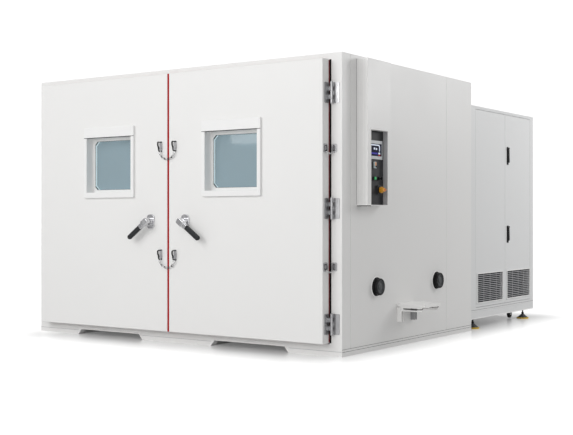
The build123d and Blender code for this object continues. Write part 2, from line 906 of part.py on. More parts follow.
for side, hand in ((-1, "left"), (1, "right")):
    # Outer insulated door leaf
    with BuildPart() as door_shell:
        block(
            (side * door_inner, side * door_outer),
            (door_front, door_back),
            (door_bottom, door_top),
        )
        fillet(door_shell.faces().sort_by(Axis.Y)[0].outer_wire().edges(), 5)
        block(
            (
                side * (window_middle - window_width / 2 - jamb_wall),
                side * (window_middle + window_width / 2 + jamb_wall),
            ),
            (door_front - 1, door_back + 1),
            (window_bottom - jamb_wall, window_top + jamb_wall),
            mode=Mode.SUBTRACT,
        )
        bar(
            (side * handle_middle, door_front - 1, handle_height),
            (side * handle_middle, door_back + 1, handle_height),
            spindle_radius + running_fit,
            mode=Mode.SUBTRACT,
        )
    save(door_shell, f"door_shell_{hand}")

    # Inner plug of the door with its stainless skin
    with BuildPart() as door_liner:
        block((side * plug_x[0], side * plug_x[1]), (door_back, plug_inside), plug_z)
        chamfer(door_liner.faces().sort_by(Axis.Y)[-1].outer_wire().edges(), 8)
        block(
            (side * (glass_x[0] - 16), side * (glass_x[1] + 16)),
            (plug_inside - 1, plug_inside + 5),
            (glass_z[0] - 16, glass_z[1] + 16),
        )
        block(
            (side * glass_x[0], side * glass_x[1]),
            (door_back - 1, plug_inside + 6),
            glass_z,
            mode=Mode.SUBTRACT,
        )
        bar(
            (side * handle_middle, door_back - 1, handle_height),
            (side * handle_middle, plug_inside + 1, handle_height),
            spindle_radius + running_fit,
            mode=Mode.SUBTRACT,
        )
    save(door_liner, f"door_liner_{hand}")

    # Window surround: proud flange, jamb through the door, ring in front of the glass
    with BuildPart() as window_frame:
        flange_plane = Plane(
            origin=(
                side * window_middle,
                flange_face,
                (flange_bottom + flange_top) / 2,
            ),
            x_dir=(1, 0, 0),
            z_dir=(0, 1, 0),
        )
        rounded_plate(
            flange_plane,
            flange_outer_width,
            flange_top - flange_bottom,
            10,
            flange_height,
        )
        fillet(window_frame.faces().sort_by(Axis.Y)[0].outer_wire().edges(), 4)
        jamb_x = (
            side * (window_middle - window_width / 2 - jamb_wall),
            side * (window_middle + window_width / 2 + jamb_wall),
        )
        block(
            jamb_x,
            (door_front, door_back),
            (window_bottom - jamb_wall, window_top + jamb_wall),
        )
        block(
            (
                side * (window_middle - window_width / 2),
                side * (window_middle + window_width / 2),
            ),
            (flange_face - 1, ring_face),
            window_levels,
            mode=Mode.SUBTRACT,
        )
        chamfer(window_frame.faces().sort_by(Axis.Y)[0].inner_wires()[0].edges(), 3)
        clear_x = window_width / 2 - glass_border
        clear_low = window_bottom + glass_border
        clear_high = window_top - glass_border
        aperture = (
            (-clear_x + glass_corner, clear_low),
            (clear_x - glass_corner, clear_low),
            (clear_x, clear_low + glass_corner),
            (clear_x, clear_high - glass_corner),
            (clear_x - glass_corner, clear_high),
            (-clear_x + glass_corner, clear_high),
            (-clear_x, clear_high - glass_corner),
            (-clear_x, clear_low + glass_corner),
        )
        prism(
            Plane(origin=(side * window_middle, door_back + 1, 0), x_dir=(1, 0, 0), z_dir=(0, -1, 0)),
            aperture,
            door_back - ring_face + 2,
            mode=Mode.SUBTRACT,
        )
    save(window_frame, f"window_frame_{hand}")

    # Glass pack: four panes held apart by a spacer frame
    with BuildPart() as window_glass:
        pack_x = (side * glass_x[0], side * glass_x[1])
        block(pack_x, (door_back, plug_inside), glass_z)
        gaps = 3
        gap_depth = (plug_depth - 4 * pane) / gaps
        for gap in range(gaps):
            start = door_back + pane + gap * (pane + gap_depth)
            block(
                (side * (glass_x[0] + 14), side * (glass_x[1] - 14)),
                (start, start + gap_depth),
                (glass_z[0] + 14, glass_z[1] - 14),
                mode=Mode.SUBTRACT,
            )
    save(window_glass, f"window_glass_{hand}")

    # Metal fittings fixed to the door: hinge leaves, handle rose, chain bows and eyes
    with BuildPart() as door_hardware:
        for middle in hinge_heights:
            leaf_plane = Plane(
                origin=(side * door_outer, door_back - 29, middle),
                x_dir=(0, 1, 0),
                z_dir=(side, 0, 0),
            )
            rounded_plate(leaf_plane, 58, hinge_height, 7, hinge_leaf)
            for screw in (-50, 0, 50):
                bar(
                    (side * (door_outer + hinge_leaf), door_back - 40, middle + screw),
                    (side * (door_outer + hinge_leaf + 2), door_back - 40, middle + screw),
                    6,
                )
            for index, (start, end) in enumerate(knuckle_spans(middle)):
                if index % 2 == 1:
                    block(
                        (side * (door_outer + 1), side * hinge_x),
                        (hinge_y - 5, hinge_y + 5),
                        (start, end),
                    )
                    bar(
                        (side * hinge_x, hinge_y, start),
                        (side * hinge_x, hinge_y, end),
                        hinge_barrel_radius,
                    )
                    bar(
                        (side * hinge_x, hinge_y, start - 1),
                        (side * hinge_x, hinge_y, end + 1),
                        hinge_pin_radius + running_fit,
                        mode=Mode.SUBTRACT,
                    )
        rose_plane = Plane(
            origin=(side * handle_middle, door_front, handle_height),
            x_dir=(1, 0, 0),
            z_dir=(0, -1, 0),
        )
        rounded_plate(rose_plane, rose_width, rose_height, 34, rose_plate)
        fillet(door_hardware.faces().sort_by(Axis.Y)[0].outer_wire().edges(), 4)
        bar(
            (side * handle_middle, door_front - rose_plate, handle_height),
            (side * handle_middle, door_front - boss_reach, handle_height),
            boss_radius,
        )
        chamfer(door_hardware.faces().sort_by(Axis.Y)[0].outer_wire().edges(), 2)
        bar(
            (side * handle_middle, door_front + 1, handle_height),
            (side * handle_middle, door_front - boss_reach - 1, handle_height),
            spindle_radius + running_fit,
            mode=Mode.SUBTRACT,
        )
        for top in chain_bracket_tops:
            centre = top - bow_height / 2 - bow_wire
            bow_x = side * chain_bracket_middle
            plate_plane = Plane(
                origin=(bow_x, door_front, centre),
                x_dir=(1, 0, 0),
                z_dir=(0, -1, 0),
            )
            rounded_plate(plate_plane, 30, bow_height + 16, 8, 3)
            wire_bow(
                (
                    (bow_x, door_front - 2, centre + bow_height / 2),
                    (bow_x, door_front - bow_depth - bow_curve, centre + bow_height / 2),
                    (bow_x, door_front - bow_depth - bow_curve, centre + 6),
                    (bow_x, door_front - bow_depth + bow_curve, centre - 6),
                    (bow_x, door_front - bow_depth + bow_curve, centre - bow_height / 2),
                    (bow_x, door_front - 2, centre - bow_height / 2),
                ),
                8,
                bow_wire,
            )
        for top in side_bracket_tops:
            eye_plane = Plane(
                origin=(side * door_outer, door_back - 46, top - side_bracket_height / 2),
                x_dir=(0, 1, 0),
                z_dir=(side, 0, 0),
            )
            rounded_plate(eye_plane, 54, side_bracket_height, 12, 3)
            wire_bow(
                (
                    (side * (door_outer + 2), door_back - 46, top - 14),
                    (side * (door_outer + 15), door_back - 46, top - 14),
                    (side * (door_outer + 15), door_back - 46, top - 50),
                    (side * (door_outer + 2), door_back - 46, top - 50),
                ),
                7,
                3,
            )
    save(door_hardware, f"door_hardware_{hand}")

    # Lever with its spindle through the door and the release inside the chamber
    with BuildPart() as handle_lever:
        away = Vector(side * lever_away.X, 0, lever_away.Z)
        hub = Vector(side * handle_middle, handle_y, handle_height)
        head_shift = (lever_head_front - lever_head_rear) / 2
        rounded_plate(
            Plane(
                origin=hub + away * head_shift - Vector(0, lever_head_thickness / 2, 0),
                x_dir=away,
                z_dir=(0, 1, 0),
            ),
            lever_head_front + lever_head_rear,
            lever_head_width,
            17,
            lever_head_thickness,
        )
        fillet(handle_lever.faces().sort_by(Axis.Y)[0].outer_wire().edges(), 6)
        chamfer(handle_lever.faces().sort_by(Axis.Y)[-1].outer_wire().edges(), 2)
        bar(
            (side * handle_middle, handle_y, handle_height),
            (side * handle_middle, plug_inside + 30, handle_height),
            spindle_radius,
        )
        neck_plane = Plane(origin=hub, x_dir=(0, 1, 0), z_dir=away)
        rounded_plate(
            neck_plane.offset(lever_head_front - 5),
            collar_thickness,
            collar_width,
            5,
            collar_end - lever_head_front + 5,
        )
        bar(hub, hub + away * (collar_end + tang_reach), tang_radius)
        rounded_plate(
            Plane(
                origin=(side * handle_middle, plug_inside + 24, handle_height),
                x_dir=(1, 0, 0),
                z_dir=(0, 1, 0),
            ),
            34,
            120,
            16,
            14,
        )
    save(handle_lever, f"handle_lever_{hand}")

    # Black grip on the lever
    with BuildPart() as handle_grip:
        away = Vector(side * lever_away.X, 0, lever_away.Z)
        hub = Vector(side * handle_middle, handle_y, handle_height)
        round_end = handle_length - grip_width / 2
        grip_plane = Plane(
            origin=hub - Vector(0, grip_thickness / 2, 0),
            x_dir=away,
            z_dir=(0, 1, 0),
        )
        with BuildSketch(grip_plane):
            with Locations(((collar_end + round_end) / 2, 0)):
                Rectangle(round_end - collar_end, grip_width)
            with Locations((round_end, 0)):
                Circle(grip_width / 2)
        extrude(amount=grip_thickness)
        fillet(handle_grip.faces().sort_by(Axis.Y)[0].outer_wire().edges(), 7)
        fillet(handle_grip.faces().sort_by(Axis.Y)[-1].outer_wire().edges(), 7)
        bar(
            hub,
            hub + away * (collar_end + tang_reach + seat_fit),
            tang_radius + seat_fit,
            mode=Mode.SUBTRACT,
        )
    save(handle_grip, f"handle_grip_{hand}")

# Red centre seal that fills the seam, fixed to the left door
with BuildPart() as centre_seal:
    block(
        (-door_inner, door_inner - 1),
        (door_front + seam_recess, door_back - 4),
        (door_bottom + 2, door_top - 2),
    )
    for groove_y in (door_front + 26, door_front + 40):
        block(
            (door_inner - 4, door_inner),
            (groove_y, groove_y + 5),
            (door_bottom + 1, door_top - 1),
            mode=Mode.SUBTRACT,
        )
save(centre_seal, "centre_seal")

# Safety chains across the seam: end rings, links, and a free ring under the right bow
link_wire = 2.2
link_width = 15
ring_wire = 2.5
ring_width = 2 * (bow_wire + 2 * ring_wire + 1)
for top, name in zip(chain_bracket_tops, ("lower_chain", "upper_chain")):
    with BuildPart() as safety_chain:
        chain_y = door_front - 15
        leg = top - bow_height - bow_wire
        left_top = leg + bow_wire + seat_fit + 2 * ring_wire
        right_top = leg - bow_wire - 0.8
        bottom = leg - 32
        steep = math.atan2(4 * 38, 2 * chain_bracket_middle)
        for ring_x, ring_top in (
            (-chain_bracket_middle, left_top),
            (chain_bracket_middle, right_top),
        ):
            ring = make_link(ring_top - bottom, ring_width, ring_wire)
            centre = Vector(ring_x, chain_y, (ring_top + bottom) / 2)
            add(ring.moved(Plane(origin=centre, x_dir=(0, 0, 1), z_dir=(0, 1, 0)).location))
        shift_x = (ring_wire + 0.15) * math.cos(steep)
        shift_z = (ring_wire + 0.15) * math.sin(steep)
        first = (-chain_bracket_middle - shift_x, chain_y, bottom + ring_wire + shift_z)
        last = (chain_bracket_middle + shift_x, chain_y, bottom + ring_wire + shift_z)
        chain(hanging_points(first, last, 38, 9), (0, 1, 0), link_wire, link_width)
    save(safety_chain, name)

# Short chains between the door edge and the frame
for side, hand in ((-1, "left"), (1, "right")):
    with BuildPart() as side_chains:
        for top in side_bracket_tops:
            level = top - 50 - 3 - 4.4
            door_eye = Vector(side * (door_outer + 9), door_back - 46, level)
            frame_eye = Vector(side * (door_outer + 40), -half_depth - 10, level)
            flat = (frame_eye - door_eye).normalized()
            sideways = flat.cross(Vector(0, 0, 1))
            points = hanging_points(door_eye, frame_eye, 15, 4)
            chain(points, sideways, 1.8, 12)
    save(side_chains, f"side_chains_{hand}")

# Base frame of the machine unit with jam nuts and caster forks
with BuildPart() as machine_base_frame:
    beam_z = (machine_bottom, machine_base_top)
    for side in (-1, 1):
        block(
            (side * (machine_half_width - rail_width), side * machine_half_width),
            (machine_front, machine_rear),
            beam_z,
        )
    block((-machine_half_width, machine_half_width), (machine_front, machine_front + 70), beam_z)
    block((-machine_half_width, machine_half_width), (machine_rear - 90, machine_rear), beam_z)
    for cross in (1560, 2060):
        block((-machine_half_width, machine_half_width), (cross, cross + 70), beam_z)
    block(
        (-machine_half_width, machine_half_width),
        (machine_front, machine_rear),
        (machine_base_top - 3, machine_base_top),
    )
    for side in (-1, 1):
        block(
            (side * (machine_half_width - 2), side * (machine_half_width + 1)),
            (machine_front - 1, machine_rear + 1),
            (machine_base_top - 22, machine_base_top - 16),
            mode=Mode.SUBTRACT,
        )
        for foot_x, foot_y in foot_places:
            bar(
                (side * foot_x, foot_y, machine_bottom - 1),
                (side * foot_x, foot_y, machine_base_top + 1),
                foot_stem_radius + running_fit,
                mode=Mode.SUBTRACT,
            )
        caster_x = side * caster_at[0]
        caster_y = caster_at[1]
        axle_z = caster_radius + caster_lift
        plate_bottom = machine_bottom - caster_plate
        block(
            (caster_x - 38, caster_x + 38),
            (caster_y - 46, caster_y + 34),
            (plate_bottom, machine_bottom),
        )
        for cheek in (-17, 17):
            block(
                (caster_x + cheek - 2, caster_x + cheek + 2),
                (caster_y - 22, caster_y + 14),
                (axle_z - 10, plate_bottom),
            )
        bar((caster_x - 20, caster_y, axle_z), (caster_x + 20, caster_y, axle_z), 5)
save(machine_base_frame, "machine_base_frame")

# Machine cabinet: front, rear, left and top sheets and a right frame that holds two doors,
# all separate sheets that meet face to face
cabinet_depth = (machine_front + machine_sheet, machine_rear - machine_sheet)
cabinet_eaves = machine_top - machine_sheet
eaves_groove = (machine_top - 19, machine_top - 15)
pipe_window_half_width = 420
pipe_window_z = (1100, 1860)
vent_count = 14
vent_start = 1320
vent_pitch = 80
vent_width = 46
vent_z = (340, 860)


def cut_eaves_groove(side):
    """Cut the fine groove below the top edge of the cabinet on one side."""
    block(
        (side * (machine_half_width - 1.5), side * (machine_half_width + 1)),
        (machine_front - 1, machine_rear + 1),
        eaves_groove,
        mode=Mode.SUBTRACT,
    )


with BuildPart() as cabinet_front_sheet:
    block(
        (-machine_half_width, machine_half_width),
        (machine_front, cabinet_depth[0]),
        (machine_base_top, machine_top),
    )
    fillet(cabinet_front_sheet.faces().sort_by(Axis.Y)[0].edges().filter_by(Axis.Z), 2.5)
    block(
        (-pipe_window_half_width, pipe_window_half_width),
        (machine_front - 1, cabinet_depth[0] + 1),
        pipe_window_z,
        mode=Mode.SUBTRACT,
    )
    for side in (-1, 1):
        cut_eaves_groove(side)

with BuildPart() as cabinet_rear_sheet:
    block(
        (-machine_half_width, machine_half_width),
        (cabinet_depth[1], machine_rear),
        (machine_base_top, machine_top),
    )
    fillet(cabinet_rear_sheet.faces().sort_by(Axis.Y)[-1].edges().filter_by(Axis.Z), 2.5)
    for side in (-1, 1):
        cut_eaves_groove(side)

with BuildPart() as cabinet_left_sheet:
    block(
        (-machine_half_width, -machine_half_width + machine_sheet),
        cabinet_depth,
        (machine_base_top, cabinet_eaves),
    )
    cut_eaves_groove(-1)
    for vent in range(vent_count):
        place = vent_start + vent * vent_pitch
        block(
            (-machine_half_width - 1, -machine_half_width + machine_sheet + 1),
            (place, place + vent_width),
            vent_z,
            mode=Mode.SUBTRACT,
        )

with BuildPart() as cabinet_right_frame:
    block(
        (machine_half_width - side_door_thickness, machine_half_width),
        cabinet_depth,
        (machine_base_top, cabinet_eaves),
    )
    cut_eaves_groove(1)
    block(
        (machine_half_width - side_door_thickness - 1, machine_half_width + 1),
        (side_door_front, side_door_rear),
        (side_door_bottom, side_door_top),
        mode=Mode.SUBTRACT,
    )
    for pivot_y in (side_door_front + side_door_gap + 4, side_door_rear - side_door_gap - 4):
        pivot_x = machine_half_width - 4
        bar((pivot_x, pivot_y, side_door_bottom - 5), (pivot_x, pivot_y, side_door_bottom + 16), 3)
        bar((pivot_x, pivot_y, side_door_top - 16), (pivot_x, pivot_y, side_door_top + 5), 3)

with BuildPart() as cabinet_top_sheet:
    block((-machine_half_width, machine_half_width), cabinet_depth, (cabinet_eaves, machine_top))

save_group(
    (
        cabinet_front_sheet,
        cabinet_rear_sheet,
        cabinet_left_sheet,
        cabinet_right_frame,
        cabinet_top_sheet,
    ),
    "machine_cabinet",
)

# Condensing unit: two compressors, receiver, pipes to the cooling coil, and the condenser
# behind the side grilles
with BuildPart() as condensing_unit:
    deck = machine_base_top
    block((-1100, 700), (1540, 2150), (deck, deck + 8))
    for pot_x in (-650, -150):
        for foot_x in (-90, 90):
            for foot_y in (-90, 90):
                bar(
                    (pot_x + foot_x, 1860 + foot_y, deck + 8),
                    (pot_x + foot_x, 1860 + foot_y, deck + 32),
                    16,
                )
        block((pot_x - 125, pot_x + 125), (1735, 1985), (deck + 32, deck + 40))
        bar((pot_x, 1860, deck + 40), (pot_x, 1860, deck + 480), 118)
        rims = condensing_unit.edges().filter_by(GeomType.CIRCLE)
        fillet(rims.filter_by_position(Axis.Z, deck + 479, deck + 481), 70)
        block((pot_x + 100, pot_x + 160), (1820, 1900), (deck + 200, deck + 320))
    bar((100, 1700, deck + 100), (640, 1700, deck + 100), 80)
    for cradle in (180, 560):
        block((cradle - 15, cradle + 15), (1640, 1760), (deck + 8, deck + 60))
    for (pipe_x, pipe_z), pot_x in zip(pipe_places, (-650, -150)):
        start = (pipe_x, half_depth - panel_thickness, pipe_z)
        run_y = 1640 if pot_x < -400 else 1580
        wire_bow(
            (
                start,
                (pipe_x, run_y, pipe_z),
                (pipe_x, run_y, deck + 300),
                (pot_x, run_y, deck + 300),
                (pot_x, 1780, deck + 300),
            ),
            40,
            pipe_radius,
        )
    coil_x = (1385, 1460)
    coil_y = (1275, 2491)
    coil_bottom = deck + 36
    coil_top = 906
    coil_middle = (coil_x[0] + coil_x[1]) / 2
    for stand in (1500, 1880, 2400):
        block(coil_x, (stand, stand + 40), (deck, coil_bottom))
    block(coil_x, coil_y, (coil_bottom, coil_bottom + 6))
    block(coil_x, coil_y, (coil_top - 6, coil_top))
    for end in (coil_y[0], coil_y[1] - 4):
        block(coil_x, (end, end + 4), (coil_bottom, coil_top))
    for fin in range(20):
        place = coil_y[0] + 38 + fin * 60
        block(
            (coil_x[0] + 4, coil_x[1] - 4),
            (place - 1, place + 1),
            (coil_bottom + 6, coil_top - 6),
        )
    tube_radius = 8
    tube_pitch = 78
    tube_ends = (coil_y[0] - 13, coil_y[1] + 13)
    for row in range(8):
        level = coil_bottom + 50 + row * tube_pitch
        bar((coil_middle, tube_ends[0], level), (coil_middle, tube_ends[1], level), tube_radius)
    for row in range(7):
        level = coil_bottom + 50 + row * tube_pitch
        end = tube_ends[1 - row % 2]
        block(
            (coil_middle - tube_radius, coil_middle + tube_radius),
            (end - tube_radius, end + tube_radius),
            (level, level + tube_pitch),
        )
save(condensing_unit, "condensing_unit")


def side_door(front, rear, pivot_y, grille, bases):
    """Build one side door of the machine cabinet between two places along Y."""
    inner_face = machine_half_width - side_door_thickness
    low = side_door_bottom + side_door_gap
    high = side_door_top - side_door_gap
    with BuildPart() as door:
        block((inner_face, machine_half_width), (front, rear), (low, high))
        fillet(door.faces().sort_by(Axis.X)[-1].outer_wire().edges(), 2)
        block(
            (inner_face - 1, machine_half_width + 1),
            (grille[0] - 3, grille[1] + 3),
            (grille_bottom - 3, grille_top + 3),
            mode=Mode.SUBTRACT,
        )
        for level in (low, high):
            bar(
                (machine_half_width - 4, pivot_y, level - 17),
                (machine_half_width - 4, pivot_y, level + 17),
                3 + running_fit,
                mode=Mode.SUBTRACT,
            )
        for low_end, high_end in bases:
            base_plane = Plane(
                origin=(machine_half_width - 1, latch_middle, (low_end + high_end) / 2),
                x_dir=(0, 1, 0),
                z_dir=(1, 0, 0),
            )
            rounded_plate(base_plane, 35, high_end - low_end, 10, 5)
            bar(
                (machine_half_width + 4, latch_middle, low_end + 17),
                (machine_half_width + 8, latch_middle, low_end + 17),
                10,
            )
            for cheek in (-1, 1):
                block(
                    (machine_half_width + 3, machine_half_width + 16),
                    (latch_middle + cheek * 13, latch_middle + cheek * 16.5),
                    (high_end - 20, high_end - 6),
                )
            bar(
                (machine_half_width + 10, latch_middle - 18, high_end - 13),
                (machine_half_width + 10, latch_middle + 18, high_end - 13),
                3 + running_fit,
                mode=Mode.SUBTRACT,
            )
    return door


machine_door_front = side_door(
    side_door_front + side_door_gap,
    side_door_seam - side_door_gap / 2,
    side_door_front + side_door_gap + 4,
    grille_front_span,
    (),
)
save(machine_door_front, "machine_door_front")
machine_door_rear = side_door(
    side_door_seam + side_door_gap / 2,
    side_door_rear - side_door_gap,
    side_door_rear - side_door_gap - 4,
    grille_rear_span,
    (latch_lower, latch_upper),
)
save(machine_door_rear, "machine_door_rear")

# Air grilles: a frame with narrow level slots
for grille, name in (
    (grille_front_span, "machine_grille_front"),
    (grille_rear_span, "machine_grille_rear"),
):
    with BuildPart() as air_grille:
        middle_y, width = span(*grille)
        middle_z, tall = span(grille_bottom, grille_top)
        face_plane = Plane(
            origin=(machine_half_width, middle_y, middle_z),
            x_dir=(0, 1, 0),
            z_dir=(1, 0, 0),
        )
        rounded_plate(
            face_plane,
            width + 2 * grille_rim,
            tall + 2 * grille_rim,
            5,
            grille_sheet,
        )
        block(
            (machine_half_width + grille_sheet / 2, machine_half_width + grille_sheet + 1),
            grille,
            (grille_bottom, grille_top),
            mode=Mode.SUBTRACT,
        )
        column = width / slot_columns
        pitch = tall / slot_rows
        with Locations((machine_half_width + 1, middle_y, middle_z)):
            with GridLocations(1, column, 1, slot_columns):
                for row in range(slot_rows):
                    with Locations((0, 0, (row - (slot_rows - 1) / 2) * pitch)):
                        Box(8, column - slot_bar, pitch * 0.6, mode=Mode.SUBTRACT)
    save(air_grille, name)

# Latch levers that lift out of their bases on the rear side door
for (low_end, high_end), name in (
    (latch_lower, "machine_latch_lower"),
    (latch_upper, "machine_latch_upper"),
):
    with BuildPart() as latch_lever:
        pivot_z = high_end - 13
        outline = (
            (machine_half_width + 5, pivot_z),
            (machine_half_width + 5, low_end + 32),
            (machine_half_width + 13, low_end + 20),
            (machine_half_width + 18, low_end + 30),
            (machine_half_width + 15, pivot_z),
        )
        prism(Plane.XZ.offset(-(latch_middle - 12)), outline, -24)
        for reach, radius in ((12, 5), (16, 3)):
            bar(
                (machine_half_width + 10, latch_middle - reach, pivot_z),
                (machine_half_width + 10, latch_middle + reach, pivot_z),
                radius,
            )
    save(latch_lever, name)

# Levelling feet: pad, cone and threaded stem
foot_names = {
    (1, 0): "levelling_foot_right_front",
    (1, 1): "levelling_foot_right_rear",
    (-1, 0): "levelling_foot_left_front",
    (-1, 1): "levelling_foot_left_rear",
}
for (side, index), name in foot_names.items():
    with BuildPart() as levelling_foot:
        foot_x = side * foot_places[index][0]
        foot_y = foot_places[index][1]
        bar((foot_x, foot_y, 0), (foot_x, foot_y, foot_pad), foot_radius)
        cone(
            (foot_x, foot_y, foot_pad),
            (foot_x, foot_y, foot_cone_top),
            foot_radius - 6,
            foot_stem_radius + 4,
        )
        hexagon((foot_x, foot_y, foot_cone_top), foot_stem_radius + 6, foot_nut_top - foot_cone_top)
        bar((foot_x, foot_y, foot_nut_top), (foot_x, foot_y, machine_base_top + 4), foot_stem_radius)
        chamfer(levelling_foot.edges().filter_by(GeomType.CIRCLE).sort_by(Axis.Z)[0], 1.5)
    save(levelling_foot, name)

# Caster wheels
for side, hand in ((-1, "left"), (1, "right")):
    with BuildPart() as caster_wheel:
        caster_x = side * caster_at[0]
        caster_y = caster_at[1]
        axle_z = caster_radius + caster_lift
        bar((caster_x - 12, caster_y, axle_z), (caster_x + 12, caster_y, axle_z), caster_radius)
        fillet(caster_wheel.edges().filter_by(GeomType.CIRCLE), 5)
        bar((caster_x - 14.5, caster_y, axle_z), (caster_x + 14.5, caster_y, axle_z), 11)
        bar(
            (caster_x - 15, caster_y, axle_z),
            (caster_x + 15, caster_y, axle_z),
            5 + running_fit,
            mode=Mode.SUBTRACT,
        )
    save(caster_wheel, f"caster_wheel_{hand}")
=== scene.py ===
"""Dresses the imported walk-in climate chamber: finishes, fine pieces, stage, light and camera."""

import logging
import math
from collections.abc import Iterable, Sequence
from dataclasses import dataclass
from enum import Enum

import bmesh
import bpy
from mathutils import Matrix, Vector


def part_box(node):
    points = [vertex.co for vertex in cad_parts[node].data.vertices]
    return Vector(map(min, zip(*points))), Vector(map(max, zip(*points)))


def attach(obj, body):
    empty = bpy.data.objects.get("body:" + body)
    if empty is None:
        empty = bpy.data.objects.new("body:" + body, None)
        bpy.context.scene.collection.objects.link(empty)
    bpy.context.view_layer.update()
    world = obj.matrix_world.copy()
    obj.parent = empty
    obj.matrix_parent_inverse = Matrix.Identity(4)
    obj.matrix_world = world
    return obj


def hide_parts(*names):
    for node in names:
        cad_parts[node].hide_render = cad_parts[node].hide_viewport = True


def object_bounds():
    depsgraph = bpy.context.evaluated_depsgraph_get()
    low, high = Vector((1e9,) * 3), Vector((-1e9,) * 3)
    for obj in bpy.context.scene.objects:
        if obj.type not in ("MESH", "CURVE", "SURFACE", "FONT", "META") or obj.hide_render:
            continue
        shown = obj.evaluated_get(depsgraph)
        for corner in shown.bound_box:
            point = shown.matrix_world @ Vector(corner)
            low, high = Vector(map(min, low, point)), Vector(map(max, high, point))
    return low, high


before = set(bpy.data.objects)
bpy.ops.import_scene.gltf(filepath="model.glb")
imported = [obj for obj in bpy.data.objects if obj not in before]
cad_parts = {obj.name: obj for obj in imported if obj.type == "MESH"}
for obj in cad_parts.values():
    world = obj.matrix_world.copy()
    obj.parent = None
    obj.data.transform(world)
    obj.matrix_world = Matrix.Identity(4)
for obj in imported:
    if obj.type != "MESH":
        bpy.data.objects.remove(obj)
cad_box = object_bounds()

log = logging.getLogger("chamber")

Point = tuple[float, float, float]
Color = tuple[float, float, float]
Pair = tuple[float, float]
Tree = bpy.types.NodeTree
Node = bpy.types.Node
Socket = bpy.types.NodeSocket
Material = bpy.types.Material

# Places that several pieces share, in metres at rest.
CHAIN_MIDDLE = 0.075
CHAIN_TOPS = (0.748, 1.612)
RECESS_FRONT, RECESS_REAR = -0.83, -0.584
RECESS_BOTTOM, RECESS_TOP = 1.1, 1.653
ENDS = ("front", "rear")


class Side(Enum):
    """Left or right door, with its sign along X."""

    LEFT = -1
    RIGHT = 1

    @property
    def word(self) -> str:
        """The word that the node names use."""
        return self.name.lower()


class Finish(Enum):
    """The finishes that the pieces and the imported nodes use, with their material names."""

    PANEL = "panel_coat"
    SIDE_PANEL = "cabinet_coat"
    TRIM = "window_coat"
    LINER = "brushed_liner"
    SEAL = "red_silicone"
    CHROME = "polished_chrome"
    # Painted shade: the dark rails on the shelf's arms.
    DARK_STEEL = "dark_hook_steel"
    GRIP = "grip_rubber"
    # Black of the mouldings, also painted shade beside the door leaves and on stretches of the safety chains.
    BLACK = "black_moulding"
    SCREEN_FRAME = "grey_bezel"
    SCREEN = "dark_screen"
    SCREEN_LINE = "bright_screen_line"
    SCREEN_MARK = "red_screen_mark"
    GREEN = "green_cap"
    YELLOW = "yellow_dial"
    RED = "red_grip"
    ORANGE = "orange_lid"
    PALE = "pale_socket"
    GLASS = "window_glass"
    # Painted light: a glow on the windows' glass edges, which are no lamps.
    GLASS_EDGE = "glass_edge"
    MOTOR = "motor_grey"
    FIN = "fin_pack"
    HEATER = "heater_tube"
    TYRE = "caster_rubber"
    FOOT = "foot_cone"
    PAD = "yellow_pad"
    # Painted shade: dark lines at the windows' tops, under the control housing and under the door leaves.
    SHADE = "dark_gap"
    # Bright white of the shelf, also the colour of the painted highlight beads on edges.
    SHELF = "shelf_coat"
    HINGE = "satin_hinge_steel"
    FOLD = "shaded_fold"
    # Mid grey of the grille bars and plinth lines, also used as painted shade.
    LOUVRE = "grille_bars"
    CHAIN = "chain_steel"
    SWITCH_PLATE = "black_panel_plate"
    CAP_FACE = "grey_cap_face"
    DISPLAY_BAND = "blue_screen_band"
    GLASS_CORNER = "dark_glass_corner"


def fill(node: Node, **inputs: object) -> Node:
    """Set a node's inputs.

    Args:
        node: the node.
        inputs: values by input name, with spaces written as underscores.

    Returns:
        The same node.
    """
    for key, value in inputs.items():
        node.inputs[key.replace("_", " ")].default_value = value
    return node


class NodeSheet:
    """Adds and links shader nodes in one tree."""

    def __init__(self, tree: Tree) -> None:
        """Keep the tree.

        Args:
            tree: the node tree that is filled.
        """
        self.tree = tree

    def add(self, kind: str, **inputs: object) -> Node:
        """Add a node and set its named inputs.

        Args:
            kind: the node's class name.
            inputs: values by input name, with spaces written as underscores.

        Returns:
            The new node.
        """
        return fill(self.tree.nodes.new(kind), **inputs)

    def math(self, operation: str, kind: str = "ShaderNodeMath") -> Node:
        """Add a math node.

        Args:
            operation: what it does.
            kind: the node's class name.

        Returns:
            The new node.
        """
        node = self.tree.nodes.new(kind)
        node.operation = operation
        return node

    def vector(self, operation: str) -> Node:
        """Add a vector math node with its operation."""
        return self.math(operation, "ShaderNodeVectorMath")

    def place(self, group: Tree, **inputs: object) -> Node:
        """Place a node group and set its named inputs.

        Args:
            group: the node group.
            inputs: values by input name, with spaces written as underscores.

        Returns:
            The placed group.
        """
        node = self.tree.nodes.new("ShaderNodeGroup")
        node.node_tree = group
        return fill(node, **inputs)

    def mix(self, kind: str, mask: Socket, first: object, second: object) -> Socket:
        """Mix two sockets or values by a mask.

        Args:
            kind: RGBA or FLOAT.
            mask: the mask, zero for the first.
            first: a socket or a plain value.
            second: a socket or a plain value.

        Returns:
            The mixed output.
        """
        node = self.tree.nodes.new("ShaderNodeMix")
        node.data_type = kind
        places = {"RGBA": (6, 7, 2), "FLOAT": (2, 3, 0)}[kind]
        self.link(mask, node.inputs[0])
        for place, value in zip(places, (first, second)):
            if isinstance(value, Socket):
                self.link(value, node.inputs[place])
            else:
                node.inputs[place].default_value = value
        return node.outputs[places[2]]

    def link(self, source: Socket, target: Socket) -> None:
        """Link one socket to another."""
        self.tree.links.new(source, target)

    def wire(self, links: str, **nodes: Node) -> None:
        """Make several links.

        Args:
            links: each link as node.output>node.input, a socket by number or by name with underscores.
            nodes: the nodes by the names that the links use.
        """
        for pair in links.split():
            (source, output), (target, given) = (end.split(".") for end in pair.split(">"))
            sockets = (nodes[source].outputs, output), (nodes[target].inputs, given)
            self.link(*(
                group[int(key) if key.isdigit() else key.replace("_", " ")] for group, key in sockets
            ))


